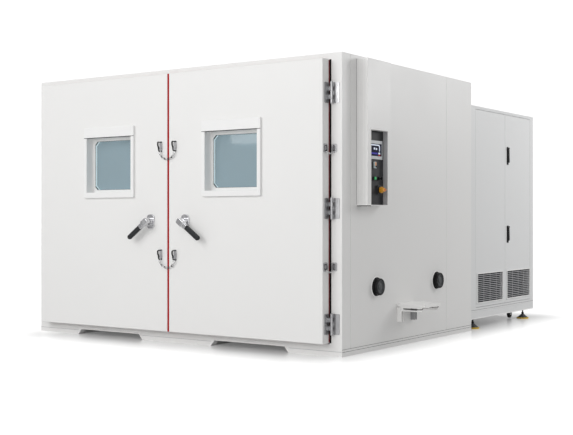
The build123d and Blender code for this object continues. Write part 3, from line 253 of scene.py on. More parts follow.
@dataclass(frozen=True)
class SurfaceGroups:
    """The node groups that the finishes share."""

    coat: Tree
    brushed: Tree
    zone: Tree

    @staticmethod
    def build() -> "SurfaceGroups":
        """Build the groups once.

        Returns:
            The built groups.
        """
        return SurfaceGroups(SurfaceGroups._coat(), SurfaceGroups._brushed(), SurfaceGroups._zone())

    @staticmethod
    def _start(name: str, ins: Iterable[tuple[str, str]], outs: Iterable[tuple[str, str]]) -> NodeSheet:
        """Start a node group with its named sockets.

        Args:
            name: the group's name.
            ins: name and kind of each input.
            outs: name and kind of each output.

        Returns:
            The new group's sheet.
        """
        tree = bpy.data.node_groups.new(name, "ShaderNodeTree")
        for direction, sockets in (("INPUT", ins), ("OUTPUT", outs)):
            for label, kind in sockets:
                tree.interface.new_socket(name=label, in_out=direction, socket_type=f"NodeSocket{kind}")
        return NodeSheet(tree)

    @staticmethod
    def _surface(name: str, sizes: Sequence[tuple[str, str]]) -> tuple[NodeSheet, dict[str, Node]]:
        """Start a surface group with two tones, a roughness range and a height.

        Args:
            name: the group's name.
            sizes: name and kind of the inputs that set the pattern's size.

        Returns:
            The group's sheet, and the nodes that both surface groups have, by name.
        """
        ins = (
            ("Light", "Color"), ("Shade", "Color"), *sizes, ("Rough Low", "Float"), ("Rough High", "Float"),
        )
        outs = (("Color", "Color"), ("Roughness", "Float"), ("Height", "Float"))
        sheet = SurfaceGroups._start(name, ins, outs)
        tone = sheet.add("ShaderNodeMix")
        tone.data_type = "RGBA"
        nodes = {
            "given": sheet.add("NodeGroupInput"),
            "out": sheet.add("NodeGroupOutput"),
            "place": sheet.add("ShaderNodeTexCoord"),
            "tone": tone,
            "rough": sheet.add("ShaderNodeMapRange", From_Min=0.3, From_Max=0.7),
        }
        sheet.wire(
            "given.Light>tone.A given.Shade>tone.B given.Rough_Low>rough.To_Min "
            "given.Rough_High>rough.To_Max tone.Result>out.Color rough.Result>out.Roughness",
            **nodes,
        )
        return sheet, nodes

    @staticmethod
    def _coat() -> Tree:
        """Grain, broad tone change and roughness change of a coated or moulded surface.

        Returns:
            The node group.
        """
        sizes = (("Grain Scale", "Float"), ("Broad Scale", "Float"))
        sheet, nodes = SurfaceGroups._surface("coat_surface", sizes)
        sheet.wire(
            "place.Object>grain.Vector place.Object>broad.Vector given.Grain_Scale>grain.Scale "
            "given.Broad_Scale>broad.Scale broad.Fac>tone.Factor broad.Fac>rough.Value grain.Fac>out.Height",
            grain=sheet.add("ShaderNodeTexNoise", Detail=3.0, Roughness=0.55),
            broad=sheet.add("ShaderNodeTexNoise", Detail=4.0, Roughness=0.6),
            **nodes,
        )
        return sheet.tree

    @staticmethod
    def _brushed() -> Tree:
        """Long fine scratches of a brushed or rolled metal.

        Returns:
            The node group.
        """
        sheet, nodes = SurfaceGroups._surface("brushed_surface", (("Stretch", "Vector"),))
        sheet.wire(
            "place.Object>stretch.Vector given.Stretch>stretch.Scale stretch.Vector>lines.Vector "
            "lines.Fac>spread.Value spread.Result>tone.Factor lines.Fac>rough.Value lines.Fac>out.Height",
            stretch=sheet.add("ShaderNodeMapping"),
            lines=sheet.add("ShaderNodeTexNoise", Scale=1.0, Detail=5.0, Roughness=0.65),
            spread=sheet.add("ShaderNodeMapRange", From_Min=0.36, From_Max=0.64),
            **nodes,
        )
        return sheet.tree

    @staticmethod
    def _zone() -> Tree:
        """A mask that is one inside a box of the object's own space.

        Returns:
            The node group.
        """
        sheet = SurfaceGroups._start(
            "box_zone", (("Middle", "Vector"), ("Half Size", "Vector")), (("Mask", "Float"),),
        )
        inside = sheet.math("LESS_THAN")
        inside.inputs[1].default_value = 0.0
        sheet.wire(
            "place.Object>offset.0 given.Middle>offset.1 offset.0>reach.0 reach.0>past.0 "
            "given.Half_Size>past.1 past.0>axes.0 axes.X>wide.0 axes.Y>wide.1 wide.0>widest.0 "
            "axes.Z>widest.1 widest.0>inside.0 inside.0>out.Mask",
            given=sheet.add("NodeGroupInput"), out=sheet.add("NodeGroupOutput"),
            place=sheet.add("ShaderNodeTexCoord"), axes=sheet.add("ShaderNodeSeparateXYZ"),
            offset=sheet.vector("SUBTRACT"), reach=sheet.vector("ABSOLUTE"), past=sheet.vector("SUBTRACT"),
            wide=sheet.math("MAXIMUM"), widest=sheet.math("MAXIMUM"), inside=inside,
        )
        return sheet.tree


def new_material(name: str) -> tuple[Material, NodeSheet, Node]:
    """Start a material with a bare Principled shader.

    Args:
        name: the material's name.

    Returns:
        The material, its node sheet and its Principled node.
    """
    material = bpy.data.materials.new(name)
    material.use_nodes = True
    return material, NodeSheet(material.node_tree), material.node_tree.nodes["Principled BSDF"]


class SurfaceFinish:
    """A finish made of a shared surface group, a bump, and values of the shader's own."""

    bump: float
    depth: float
    metallic = 0.0
    group = "coat"
    color_sockets = ("Base_Color",)

    def pattern(self) -> dict[str, object]:
        """The surface group's values by input name, with spaces written as underscores."""
        raise NotImplementedError

    def values(self) -> dict[str, float]:
        """The shader's own values, named the same way."""
        raise NotImplementedError

    def surface(self, sheet: NodeSheet, groups: SurfaceGroups) -> Node:
        """Place the surface group with this finish's values.

        Args:
            sheet: the material's node sheet.
            groups: the shared node groups.

        Returns:
            The placed group.
        """
        return sheet.place(getattr(groups, self.group), **self.pattern())

    def make(self, name: str, groups: SurfaceGroups) -> Material:
        """Make the material.

        Args:
            name: the material's name.
            groups: the shared node groups.

        Returns:
            The material.
        """
        material, sheet, shader = new_material(name)
        fill(shader, **self.values())
        colors = " ".join(f"group.Color>shader.{socket}" for socket in self.color_sockets)
        sheet.wire(
            f"{colors} group.Roughness>shader.Roughness group.Height>bump.Height bump.Normal>shader.Normal",
            group=self.surface(sheet, groups), shader=shader,
            bump=sheet.add("ShaderNodeBump", Strength=self.bump, Distance=self.depth),
        )
        return material


@dataclass(frozen=True)
class CoatedFinish(SurfaceFinish):
    """Powder coat, paint, moulded plastic or rubber."""

    light: Color
    shade: Color
    grain_scale: float
    broad_scale: float
    rough: Pair
    bump: float
    depth: float = 0.0004
    coat: float = 0.0
    specular: float = 0.5

    def pattern(self) -> dict[str, object]:
        """Two tones, the grain's and the broad change's scales, and the roughness range."""
        return {
            "Light": (*self.light, 1), "Shade": (*self.shade, 1), "Grain_Scale": self.grain_scale,
            "Broad_Scale": self.broad_scale, "Rough_Low": self.rough[0], "Rough_High": self.rough[1],
        }

    def values(self) -> dict[str, float]:
        """The clear coat and the specular level."""
        return {"Coat_Weight": self.coat, "Specular_IOR_Level": self.specular}


@dataclass(frozen=True)
class MetalFinish(SurfaceFinish):
    """Bare, brushed or plated metal."""

    light: Color
    shade: Color
    stretch: Point
    rough: Pair
    bump: float
    depth: float = 0.0002
    metallic: float = 1.0
    group = "brushed"

    def pattern(self) -> dict[str, object]:
        """Two tones, how far the scratches are drawn out, and the roughness range."""
        return {
            "Light": (*self.light, 1), "Shade": (*self.shade, 1), "Stretch": self.stretch,
            "Rough_Low": self.rough[0], "Rough_High": self.rough[1],
        }

    def values(self) -> dict[str, float]:
        """The metal's share."""
        return {"Metallic": self.metallic}


@dataclass(frozen=True)
class GlassFinish(SurfaceFinish):
    """Tinted clear glass with faint ripple."""

    tint: Color
    roughness: float
    spread: float = 1.4
    dim: float = 0.93
    scales: Pair = (6.0, 3.0)
    transmission: float = 0.55
    ior: float = 1.5
    bump: float = 0.05
    depth: float = 0.0005

    def pattern(self) -> dict[str, object]:
        """A broad ripple in the glass's tint."""
        return {
            "Light": (*self.tint, 1), "Shade": (*(channel * self.dim for channel in self.tint), 1),
            "Grain_Scale": self.scales[0], "Broad_Scale": self.scales[1],
            "Rough_Low": self.roughness, "Rough_High": self.roughness * self.spread,
        }

    def values(self) -> dict[str, float]:
        """The transmission and the index of refraction."""
        return {"Transmission_Weight": self.transmission, "IOR": self.ior}


@dataclass(frozen=True)
class GlowFinish(SurfaceFinish):
    """A lit patch of a display, or a painted glow on a window's glass edge."""

    color: Color
    strength: float
    dim: float = 0.8
    scales: Pair = (800.0, 30.0)
    rough: Pair = (0.12, 0.2)
    specular: float = 0.1
    bump: float = 0.02
    depth: float = 0.0001
    color_sockets = ("Base_Color", "Emission_Color")

    def pattern(self) -> dict[str, object]:
        """A fine grain in the display's colour."""
        return {
            "Light": (*self.color, 1), "Shade": (*(channel * self.dim for channel in self.color), 1),
            "Grain_Scale": self.scales[0], "Broad_Scale": self.scales[1],
            "Rough_Low": self.rough[0], "Rough_High": self.rough[1],
        }

    def values(self) -> dict[str, float]:
        """The specular level and the glow."""
        return {"Specular_IOR_Level": self.specular, "Emission_Strength": self.strength}


WHITE_COAT = (0.86, 0.855, 0.845)
WHITE_SHADE = (0.84, 0.836, 0.826)
RECIPES: dict[Finish, SurfaceFinish] = {
    Finish.PANEL: CoatedFinish(WHITE_COAT, WHITE_SHADE, 260, 1.3, (0.34, 0.44), 0.12),
    Finish.SIDE_PANEL: CoatedFinish((0.8, 0.805, 0.805), (0.78, 0.785, 0.785), 240, 1.1, (0.36, 0.46), 0.14),
    Finish.TRIM: CoatedFinish((0.88, 0.88, 0.875), (0.86, 0.86, 0.855), 300, 4, (0.3, 0.4), 0.1),
    Finish.LINER: MetalFinish((0.62, 0.63, 0.64), (0.5, 0.51, 0.52), (300, 300, 3), (0.24, 0.36), 0.1),
    Finish.SEAL: CoatedFinish(
        (0.42, 0.003, 0.006), (0.34, 0.002, 0.004), 500, 9, (0.55, 0.65), 0.3, specular=0.1,
    ),
    Finish.CHROME: MetalFinish((0.78, 0.78, 0.79), (0.5, 0.5, 0.52), (25, 25, 25), (0.1, 0.22), 0.03),
    Finish.CHAIN: MetalFinish((0.92, 0.92, 0.92), (0.6, 0.6, 0.61), (30, 30, 30), (0.15, 0.25), 0.05),
    # Dark steel of the rails that paint the shade in the shelf arms' slots.
    Finish.DARK_STEEL: MetalFinish(
        (0.09, 0.09, 0.09), (0.05, 0.05, 0.05), (160, 160, 160), (0.25, 0.4), 0.15,
    ),
    Finish.GRIP: CoatedFinish(
        (0.02, 0.021, 0.023), (0.012, 0.013, 0.015), 900, 30, (0.42, 0.55), 0.5, specular=0.35,
    ),
    Finish.BLACK: CoatedFinish(
        (0.008, 0.008, 0.009), (0.004, 0.004, 0.005), 700, 12, (0.4, 0.52), 0.35, specular=0.25,
    ),
    Finish.SWITCH_PLATE: CoatedFinish(
        (0.04, 0.041, 0.045), (0.028, 0.029, 0.032), 700, 9, (0.45, 0.6), 0.3, specular=0.3,
    ),
    Finish.CAP_FACE: CoatedFinish(
        (0.085, 0.09, 0.095), (0.06, 0.064, 0.068), 700, 20, (0.4, 0.5), 0.3, specular=0.4,
    ),
    Finish.SCREEN_FRAME: CoatedFinish((0.66, 0.68, 0.69), (0.56, 0.58, 0.6), 700, 20, (0.35, 0.45), 0.3),
    Finish.SCREEN: GlowFinish((0.003, 0.004, 0.02), 0.5),
    Finish.SCREEN_LINE: GlowFinish((0.62, 0.68, 0.78), 0.6),
    Finish.DISPLAY_BAND: GlowFinish((0.05, 0.045, 0.28), 0.6),
    Finish.SCREEN_MARK: GlowFinish((0.3, 0.015, 0.02), 0.5),
    Finish.GREEN: CoatedFinish((0.06, 0.62, 0.2), (0.03, 0.45, 0.12), 500, 60, (0.2, 0.3), 0.1, coat=0.4),
    Finish.YELLOW: CoatedFinish((0.85, 0.42, 0.03), (0.7, 0.3, 0.015), 500, 60, (0.28, 0.4), 0.2, coat=0.2),
    Finish.RED: CoatedFinish((0.6, 0.05, 0.01), (0.5, 0.03, 0.01), 500, 40, (0.28, 0.4), 0.2, coat=0.2),
    Finish.ORANGE: CoatedFinish((0.75, 0.32, 0.1), (0.66, 0.25, 0.07), 500, 40, (0.3, 0.42), 0.2),
    Finish.PALE: CoatedFinish((0.66, 0.74, 0.74), (0.56, 0.65, 0.66), 500, 40, (0.3, 0.42), 0.2),
    Finish.GLASS: GlassFinish((0.57, 0.73, 0.8), 0.03),
    # Painted light: the glass edges glow though nothing lights them.
    Finish.GLASS_EDGE: GlowFinish((0.68, 0.8, 0.83), 0.45),
    Finish.GLASS_CORNER: CoatedFinish(
        (0.02, 0.06, 0.07), (0.012, 0.04, 0.05), 300, 8, (0.2, 0.3), 0.05, coat=0.3,
    ),
    Finish.MOTOR: CoatedFinish((0.1, 0.12, 0.14), (0.07, 0.085, 0.1), 300, 8, (0.45, 0.6), 0.4),
    Finish.FIN: MetalFinish((0.7, 0.71, 0.72), (0.55, 0.56, 0.57), (20, 20, 400), (0.3, 0.45), 0.2),
    Finish.HEATER: MetalFinish((0.3, 0.27, 0.24), (0.2, 0.18, 0.17), (120, 120, 120), (0.35, 0.5), 0.2),
    Finish.TYRE: CoatedFinish((0.02, 0.02, 0.02), (0.03, 0.03, 0.03), 400, 25, (0.6, 0.75), 0.5),
    Finish.FOOT: CoatedFinish((0.07, 0.073, 0.078), (0.045, 0.048, 0.052), 500, 25, (0.4, 0.55), 0.4),
    Finish.HINGE: MetalFinish((0.6, 0.6, 0.61), (0.44, 0.44, 0.45), (30, 30, 6), (0.34, 0.46), 0.05),
    Finish.FOLD: CoatedFinish((0.5, 0.5, 0.51), (0.45, 0.45, 0.46), 260, 2, (0.4, 0.5), 0.1),
    # Mid grey; also painted shade on the rear shelf bracket and along the housing's left edge.
    Finish.LOUVRE: CoatedFinish((0.42, 0.42, 0.43), (0.35, 0.35, 0.36), 260, 4, (0.45, 0.55), 0.2),
    # Shelf white; the same finish paints highlights on edges of the housing, grilles, base frame, pockets and
    # ports.
    Finish.SHELF: CoatedFinish((0.97, 0.965, 0.95), (0.94, 0.935, 0.92), 260, 2, (0.3, 0.4), 0.1, coat=0.2),
    Finish.PAD: CoatedFinish((0.8, 0.52, 0.03), (0.7, 0.45, 0.02), 500, 40, (0.35, 0.5), 0.3),
    Finish.SHADE: CoatedFinish((0.01, 0.01, 0.01), (0.006, 0.006, 0.006), 300, 10, (0.7, 0.8), 0.2),
}


@dataclass(frozen=True)
class Patch:
    """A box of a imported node, in metres at rest, that has a finish of its own."""

    finish: Finish
    low: Point
    high: Point

    def mask(self, sheet: NodeSheet, groups: SurfaceGroups, packed: bpy.types.Object) -> Socket:
        """The patch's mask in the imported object's own space.

        Args:
            sheet: the material's node sheet.
            groups: the shared node groups.
            packed: the object that the patch lies on.

        Returns:
            The mask output.
        """
        inverse = packed.matrix_world.inverted()
        first, second = inverse @ Vector(self.low), inverse @ Vector(self.high)
        half = [abs(b - a) / 2 for a, b in zip(first, second)]
        return sheet.place(groups.zone, Middle=(first + second) / 2, Half_Size=half).outputs["Mask"]


class Wardrobe:
    """Makes each finish when it is first asked for."""

    def __init__(self) -> None:
        """Build the shared node groups."""
        self.groups = SurfaceGroups.build()
        self.made: dict[Finish, Material] = {}

    def get(self, finish: Finish) -> Material:
        """The material of a finish.

        Args:
            finish: the finish.

        Returns:
            Its material, made once.
        """
        if finish not in self.made:
            self.made[finish] = RECIPES[finish].make(finish.value, self.groups)
        return self.made[finish]

    def dress(self, node: str, finish: Finish) -> None:
        """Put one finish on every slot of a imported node.

        Args:
            node: the node's name.
            finish: the finish it gets.
        """
        self._wear(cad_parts[node], self.get(finish))

    def dress_patched(self, node: str, finish: Finish, patches: Sequence[Patch]) -> None:
        """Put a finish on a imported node, with other finishes inside some boxes of it.

        Args:
            node: the node's name.
            finish: the finish outside the boxes.
            patches: the boxes, later ones over earlier ones.
        """
        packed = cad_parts[node]
        base = RECIPES[finish]
        material = base.make(f"{node}_finish", self.groups)
        sheet = NodeSheet(material.node_tree)
        shader = material.node_tree.nodes["Principled BSDF"]
        color = shader.inputs["Base Color"].links[0].from_socket
        rough = shader.inputs["Roughness"].links[0].from_socket
        metallic: object = base.metallic
        for patch in patches:
            mask = patch.mask(sheet, self.groups, packed)
            recipe = RECIPES[patch.finish]
            over = recipe.surface(sheet, self.groups)
            color = sheet.mix("RGBA", mask, color, over.outputs["Color"])
            rough = sheet.mix("FLOAT", mask, rough, over.outputs["Roughness"])
            if recipe.metallic != base.metallic:
                metallic = sheet.mix("FLOAT", mask, metallic, recipe.metallic)
        sheet.link(color, shader.inputs["Base Color"])
        sheet.link(rough, shader.inputs["Roughness"])
        if isinstance(metallic, Socket):
            sheet.link(metallic, shader.inputs["Metallic"])
        self._wear(packed, material)

    @staticmethod
    def _wear(packed: bpy.types.Object, material: Material) -> None:
        """Assign a material to every slot of a packed object.

        Args:
            packed: the object.
            material: the material it gets.
        """
        if not packed.material_slots:
            packed.data.materials.append(None)
        for place in packed.material_slots:
            place.material = material


class Shape:
    """Collects the geometry of one piece, with a finish on each part."""

    crisp_from = 38.0

    def __init__(self) -> None:
        """Start empty."""
        self.mesh = bmesh.new()
        self.finishes: list[Finish] = []

    def _paint(self, faces: Iterable[bmesh.types.BMFace], finish: Finish) -> None:
        """Give faces a finish and smooth shading.

        Args:
            faces: the faces.
            finish: their finish.
        """
        if finish not in self.finishes:
            self.finishes.append(finish)
        for face in faces:
            face.material_index = self.finishes.index(finish)
            face.smooth = True

    def loft(
        self, rings: Sequence[Sequence[Point]], finish: Finish, closed: bool = False, capped: bool = True,
    ) -> None:
        """Join closed outlines, one after the other, with bands of faces.

        Args:
            rings: the outlines, all with the same number of points.
            finish: its finish.
            closed: whether the last outline joins the first.
            capped: whether a flat face closes each open end.
        """
        loops = [[self.mesh.verts.new(point) for point in ring] for ring in rings]
        faces = []
        for lower, upper in zip(loops, loops[1:] + loops[:1] if closed else loops[1:]):
            for index, vert in enumerate(lower):
                after = (index + 1) % len(lower)
                faces.append(self.mesh.faces.new((vert, lower[after], upper[after], upper[index])))
        if capped and not closed:
            faces += [self.mesh.faces.new(loops[0][::-1]), self.mesh.faces.new(loops[-1])]
        self._paint(faces, finish)

    def box(self, low: Point, high: Point, finish: Finish, bevel: float, steps: int = 1) -> None:
        """Add a box with softened edges.

        Args:
            low: one corner.
            high: the opposite corner.
            finish: its finish.
            bevel: the edge rounding in metres.
            steps: segments of the rounding.
        """
        size = [abs(b - a) for a, b in zip(low, high)]
        middle = [(a + b) / 2 for a, b in zip(low, high)]
        matrix = Matrix.Translation(middle) @ Matrix.Diagonal((*size, 1))
        before = set(self.mesh.faces)
        made = bmesh.ops.create_cube(self.mesh, size=1, matrix=matrix)
        edges = {edge for vert in made["verts"] for edge in vert.link_edges}
        bmesh.ops.bevel(
            self.mesh, geom=list(edges), offset=bevel, segments=steps, profile=0.5, affect="EDGES",
            clamp_overlap=True,
        )
        self._paint(set(self.mesh.faces) - before, finish)

    def lathe(self, profile: Sequence[Pair], origin: Point, finish: Finish, steps: int = 40) -> None:
        """Turn a profile of (radius, height) pairs round a line along X.

        Args:
            profile: the outline from one end to the other.
            origin: where the line starts.
            finish: its finish.
            steps: facets round the line.
        """
        x, y, z = origin
        turns = [2 * math.pi * index / steps for index in range(steps)]
        self.loft(
            [[(x + height, y + radius * math.cos(turn), z + radius * math.sin(turn)) for turn in turns]
             for radius, height in profile],
            finish,
        )

    def tube(
        self, path: Sequence[Point], radius: float, finish: Finish, closed: bool = False, steps: int = 10,
    ) -> None:
        """Sweep a round section along points.

        Args:
            path: the middle line.
            radius: the section's radius.
            finish: its finish.
            closed: whether the line closes on itself.
            steps: facets round the section.
        """
        points = [Vector(point) for point in path]
        turns = [2 * math.pi * step / steps for step in range(steps)]
        rings = []
        normal: Vector | None = None
        for index, point in enumerate(points):
            before = points[index - 1] if closed or index > 0 else point
            after = points[(index + 1) % len(points)] if closed or index < len(points) - 1 else point
            along = (after - before).normalized()
            if normal is None:
                normal = along.orthogonal().normalized()
            normal = (normal - along * normal.dot(along)).normalized()
            across = along.cross(normal)
            rings.append([
                point + (normal * math.cos(turn) + across * math.sin(turn)) * radius for turn in turns
            ])
        self.loft(rings, finish, closed)

    def build(self, name: str, body: str, slot: str, wardrobe: Wardrobe) -> bpy.types.Object:
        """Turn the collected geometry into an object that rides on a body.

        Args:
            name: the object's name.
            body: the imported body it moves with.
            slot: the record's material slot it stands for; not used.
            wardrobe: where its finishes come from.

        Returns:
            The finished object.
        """
        bmesh.ops.remove_doubles(self.mesh, verts=self.mesh.verts[:], dist=1e-6)
        bmesh.ops.recalc_face_normals(self.mesh, faces=self.mesh.faces[:])
        data = bpy.data.meshes.new(name)
        self.mesh.to_mesh(data)
        self.mesh.free()
        data.set_sharp_from_angle(angle=math.radians(self.crisp_from))
        piece = bpy.data.objects.new(name, data)
        bpy.context.scene.collection.objects.link(piece)
        for finish in self.finishes:
            data.materials.append(wardrobe.get(finish))
        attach(piece, body)
        log.info("piece %s with %d faces", name, len(data.polygons))
        return piece


PLAN: dict[Finish, tuple[str, ...]] = {
    Finish.PANEL: (
        "plinth_frame", "floor_panel", "front_frame", "left_wall", "right_wall", "rear_wall", "roof_panel",
        "door_shell_left", "door_shell_right",
    ),
    Finish.SHELF: ("shelf_tray",),
    Finish.SIDE_PANEL: ("machine_base_frame", "machine_cabinet", "machine_door_front"),
    Finish.LINER: ("inner_liner", "air_baffle", "door_liner_left", "door_liner_right"),
    Finish.SEAL: ("opening_seal", "centre_seal"),
    Finish.CHROME: ("handle_lever_left", "handle_lever_right"),
    Finish.CHAIN: ("side_chains_left", "side_chains_right"),
    Finish.GRIP: ("handle_grip_left", "handle_grip_right"),
    Finish.BLACK: (
        "port_sleeves", "port_plug_front", "port_plug_rear", "key_switch", "machine_latch_upper",
        "machine_latch_lower",
    ),
    Finish.SCREEN_FRAME: ("touch_screen",),
    Finish.GREEN: ("start_button",),
    Finish.GLASS: ("window_glass_left", "window_glass_right"),
    Finish.MOTOR: ("fan_motor", "condensing_unit"),
    Finish.FIN: ("fan_wheel", "evaporator_coil"),
    Finish.HEATER: ("heater_coil",),
    Finish.TYRE: ("caster_wheel_left", "caster_wheel_right"),
}


@dataclass
class PackedFinishes:
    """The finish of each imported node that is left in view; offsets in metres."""

    wardrobe: Wardrobe
    over: float = 0.01
    hair: float = 0.001
    hinge_width: float = 0.08
    chain_half: float = 0.03
    chain_drop: float = 0.1
    side_tops: Pair = (0.682, 1.54)
    side_drop: float = 0.08
    plate_skin: float = 0.0035
    # Stretches along X of each chain painted dark as shade, and how far under the chain's top they stop.
    shaded_links: tuple[Pair, ...] = ((0.0096, 0.0281), (0.0454, 0.0608))
    shaded_link_top: float = 0.03
    # Height of the painted shade line at the top of each window's opening, and how deep it reaches.
    brow: Pair = (1.6692, 1.6735)
    brow_depth: float = 0.03
    socket_at: Pair = (-0.714, 1.397)
    socket: tuple[tuple[Finish, Point, Point], ...] = (
        (Finish.PALE, (-0.013, -0.019, -0.025), (0.001, 0.011, 0.025)),
        (Finish.ORANGE, (-0.006, -0.009, -0.006), (0.001, 0.0095, 0.021)),
    )
    fold: Pair = (-0.002, 0.0005)
    latch_span: Pair = (1.938, 1.978)
    latch_spans: tuple[Pair, ...] = ((0.762, 0.927), (1.506, 1.678))
    latch_depth: Pair = (0.0002, 0.0302)
    grille_edge: float = 0.014
    pad_top: float = 0.0125
    cone_top: float = 0.046

    def dress(self) -> None:
        """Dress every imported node."""
        for finish, nodes in PLAN.items():
            for node in nodes:
                self.wardrobe.dress(node, finish)
        self._doors()
        self._chains()
        self._controls()
        self._machine()

    def _doors(self) -> None:
        """Satin hinges, chrome roses, black bows on the chain brackets, and a dark line of painted shade at
        the top of each window's opening.
        """
        shell_low, shell_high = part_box("door_shell_right")
        for side in Side:
            low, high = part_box(f"door_hardware_{side.word}")
            outer, middle = max(abs(low.x), abs(high.x)), side.value * CHAIN_MIDDLE
            patches = [Patch(
                Finish.HINGE, (side.value * (outer - self.hinge_width), low.y, low.z),
                (side.value * outer, high.y, high.z),
            )]
            patches += [
                Patch(
                    Finish.BLACK, (middle - self.chain_half, low.y, top - self.chain_drop),
                    (middle + self.chain_half, shell_low.y - self.plate_skin, top + self.over),
                )
                for top in CHAIN_TOPS
            ]
            near, far = side.value * (shell_high.x + self.plate_skin), side.value * outer
            patches += [
                Patch(Finish.BLACK, (near, low.y, top - self.side_drop), (far, high.y, top + self.over))
                for top in self.side_tops
            ]
            self.wardrobe.dress_patched(f"door_hardware_{side.word}", Finish.CHROME, patches)
            # Painted shade: a dark line where the top of the window's opening is in shade.
            low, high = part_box(f"window_frame_{side.word}")
            self.wardrobe.dress_patched(f"window_frame_{side.word}", Finish.TRIM, [Patch(
                Finish.SHADE, (low.x, low.y - self.hair, self.brow[0]),
                (high.x, low.y + self.brow_depth, self.brow[1]),
            )])

    def _chains(self) -> None:
        """Black bows on the frame's chain brackets, and painted shade on stretches of the safety chains
        between bright links.
        """
        low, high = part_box("frame_fittings")
        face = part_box("front_frame")[0].y - self.plate_skin
        self.wardrobe.dress_patched("frame_fittings", Finish.HINGE, [
            Patch(Finish.BLACK, (low.x, low.y, top - self.side_drop), (high.x, face, top + self.over))
            for top in self.side_tops
        ])
        # Painted shade: two dark stretches on each side of each chain stand for links in shade.
        for node in ("lower_chain", "upper_chain"):
            low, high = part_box(node)
            self.wardrobe.dress_patched(node, Finish.CHAIN, [
                Patch(
                    Finish.BLACK, (side.value * near, low.y, low.z - self.over),
                    (side.value * far, high.y, high.z - self.shaded_link_top),
                )
                for near, far in self.shaded_links for side in Side
            ])

    def _controls(self) -> None:
        """Black plate with a pale and orange socket, and the shaded rear fold of the housing's recess."""
        at = Vector((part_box("control_panel")[1].x, *self.socket_at))
        self.wardrobe.dress_patched("control_panel", Finish.SWITCH_PLATE, [
            Patch(finish, at + Vector(near), at + Vector(far)) for finish, near, far in self.socket
        ])
        low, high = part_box("control_housing")
        near, far = (RECESS_REAR + offset for offset in self.fold)
        self.wardrobe.dress_patched("control_housing", Finish.PANEL, [
            Patch(Finish.FOLD, (low.x, near, RECESS_BOTTOM), (high.x - self.hair, far, RECESS_TOP)),
        ])

    def _machine(self) -> None:
        """Black latch bases, grey grille bars, the rear shelf bracket painted darker as shade, and feet with
        pads and black stems.
        """
        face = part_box("machine_door_front")[1].x
        near, far = (face + offset for offset in self.latch_depth)
        self.wardrobe.dress_patched("machine_door_rear", Finish.SIDE_PANEL, [
            Patch(Finish.BLACK, (near, self.latch_span[0], bottom), (far, self.latch_span[1], top))
            for bottom, top in self.latch_spans
        ])
        inset = Vector((0, self.grille_edge, self.grille_edge))
        for end in ENDS:
            low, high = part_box(f"machine_grille_{end}")
            self.wardrobe.dress_patched(f"machine_grille_{end}", Finish.SIDE_PANEL, [
                Patch(Finish.LOUVRE, low + inset, high - inset),
            ])
        # Painted shade: the rear half of the shelf brackets in mid grey.
        low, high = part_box("shelf_brackets")
        self.wardrobe.dress_patched("shelf_brackets", Finish.SHELF, [
            Patch(Finish.LOUVRE, (low.x, (low.y + high.y) / 2, low.z), high),
        ])
        for node in (f"levelling_foot_{side.word}_{end}" for side in Side for end in ENDS):
            low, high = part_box(node)
            self.wardrobe.dress_patched(node, Finish.FOOT, [
                Patch(Finish.PAD, (low.x, low.y, -self.over), (high.x, high.y, self.pad_top)),
                Patch(Finish.BLACK, (low.x, low.y, self.cone_top), (high.x, high.y, high.z + self.over)),
            ])


@dataclass
class Piece:
    """A piece, or a few that belong together, that only this script makes; sizes in metres."""

    wardrobe: Wardrobe

    def build(self) -> None:
        """Build it."""
        raise NotImplementedError


@dataclass
class TouchScreen(Piece):
    """The lit face of the touch screen: dark display, rounded line, band, squares and a red mark."""

    inset: float = 0.0125
    sill: float = 0.0115
    line: float = 0.0048
    thick: float = 0.001
    set_back: float = 0.0013
    sill_proud: float = 0.0008
    proud: float = 0.0006
    soft: Pair = (0.0004, 0.0002)
    bend: tuple[Pair, Pair] = ((0.7, 0.76), (0.11, 0.13))
    line_ends: Pair = (0.05, 0.4)
    marks: tuple[tuple[Finish, Pair, Pair], ...] = (
        (Finish.DISPLAY_BAND, (0.05, 0.15), (0.66, 0.28)),
        (Finish.SCREEN_LINE, (0.72, 0.16), (0.87, 0.3)),
        (Finish.SCREEN_MARK, (0.72, 0.02), (0.87, 0.13)),
        (Finish.SCREEN_LINE, (0.33, 0.52), (0.45, 0.68)),
        (Finish.SCREEN_LINE, (0.51, 0.5), (0.61, 0.65)),
    )

    def build(self) -> None:
        """Build the display face."""
        low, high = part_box("touch_screen")
        face = high.x - self.set_back
        back = face - self.thick
        y0, z0 = low.y + self.inset, low.z + self.inset + self.sill
        y1, z1 = high.y - self.inset, high.z - self.inset - self.sill

        def at(along: float, up: float) -> Vector:
            """A point of the display from its share along Y and up Z."""
            return Vector((face, y0 + along * (y1 - y0), z0 + up * (z1 - z0)))

        display = Shape()
        display.box((back, y0, z0), (face, y1, z1), Finish.SCREEN, self.soft[0])
        for bottom in (z0 - self.sill, z1):
            front = (face + self.sill_proud, y1, bottom + self.sill)
            display.box((back, y0, bottom), front, Finish.SCREEN_FRAME, self.soft[0])
        (along, up), (wide, tall) = self.bend
        corner = [
            at(along + wide * math.sin(turn), up + tall * math.cos(turn))
            for turn in (math.pi * step / 12 for step in range(7))
        ]
        path = [at(self.line_ends[0], up + tall), *corner, at(along + wide, self.line_ends[1])]
        display.tube(path, self.line, Finish.SCREEN_LINE, steps=12)
        for finish, first, second in self.marks:
            near, far = at(*first), at(*second)
            display.box(near, (face + self.proud, far.y, far.z), finish, self.soft[1])
        display.build("screen_display", "chamber", "screen", self.wardrobe)


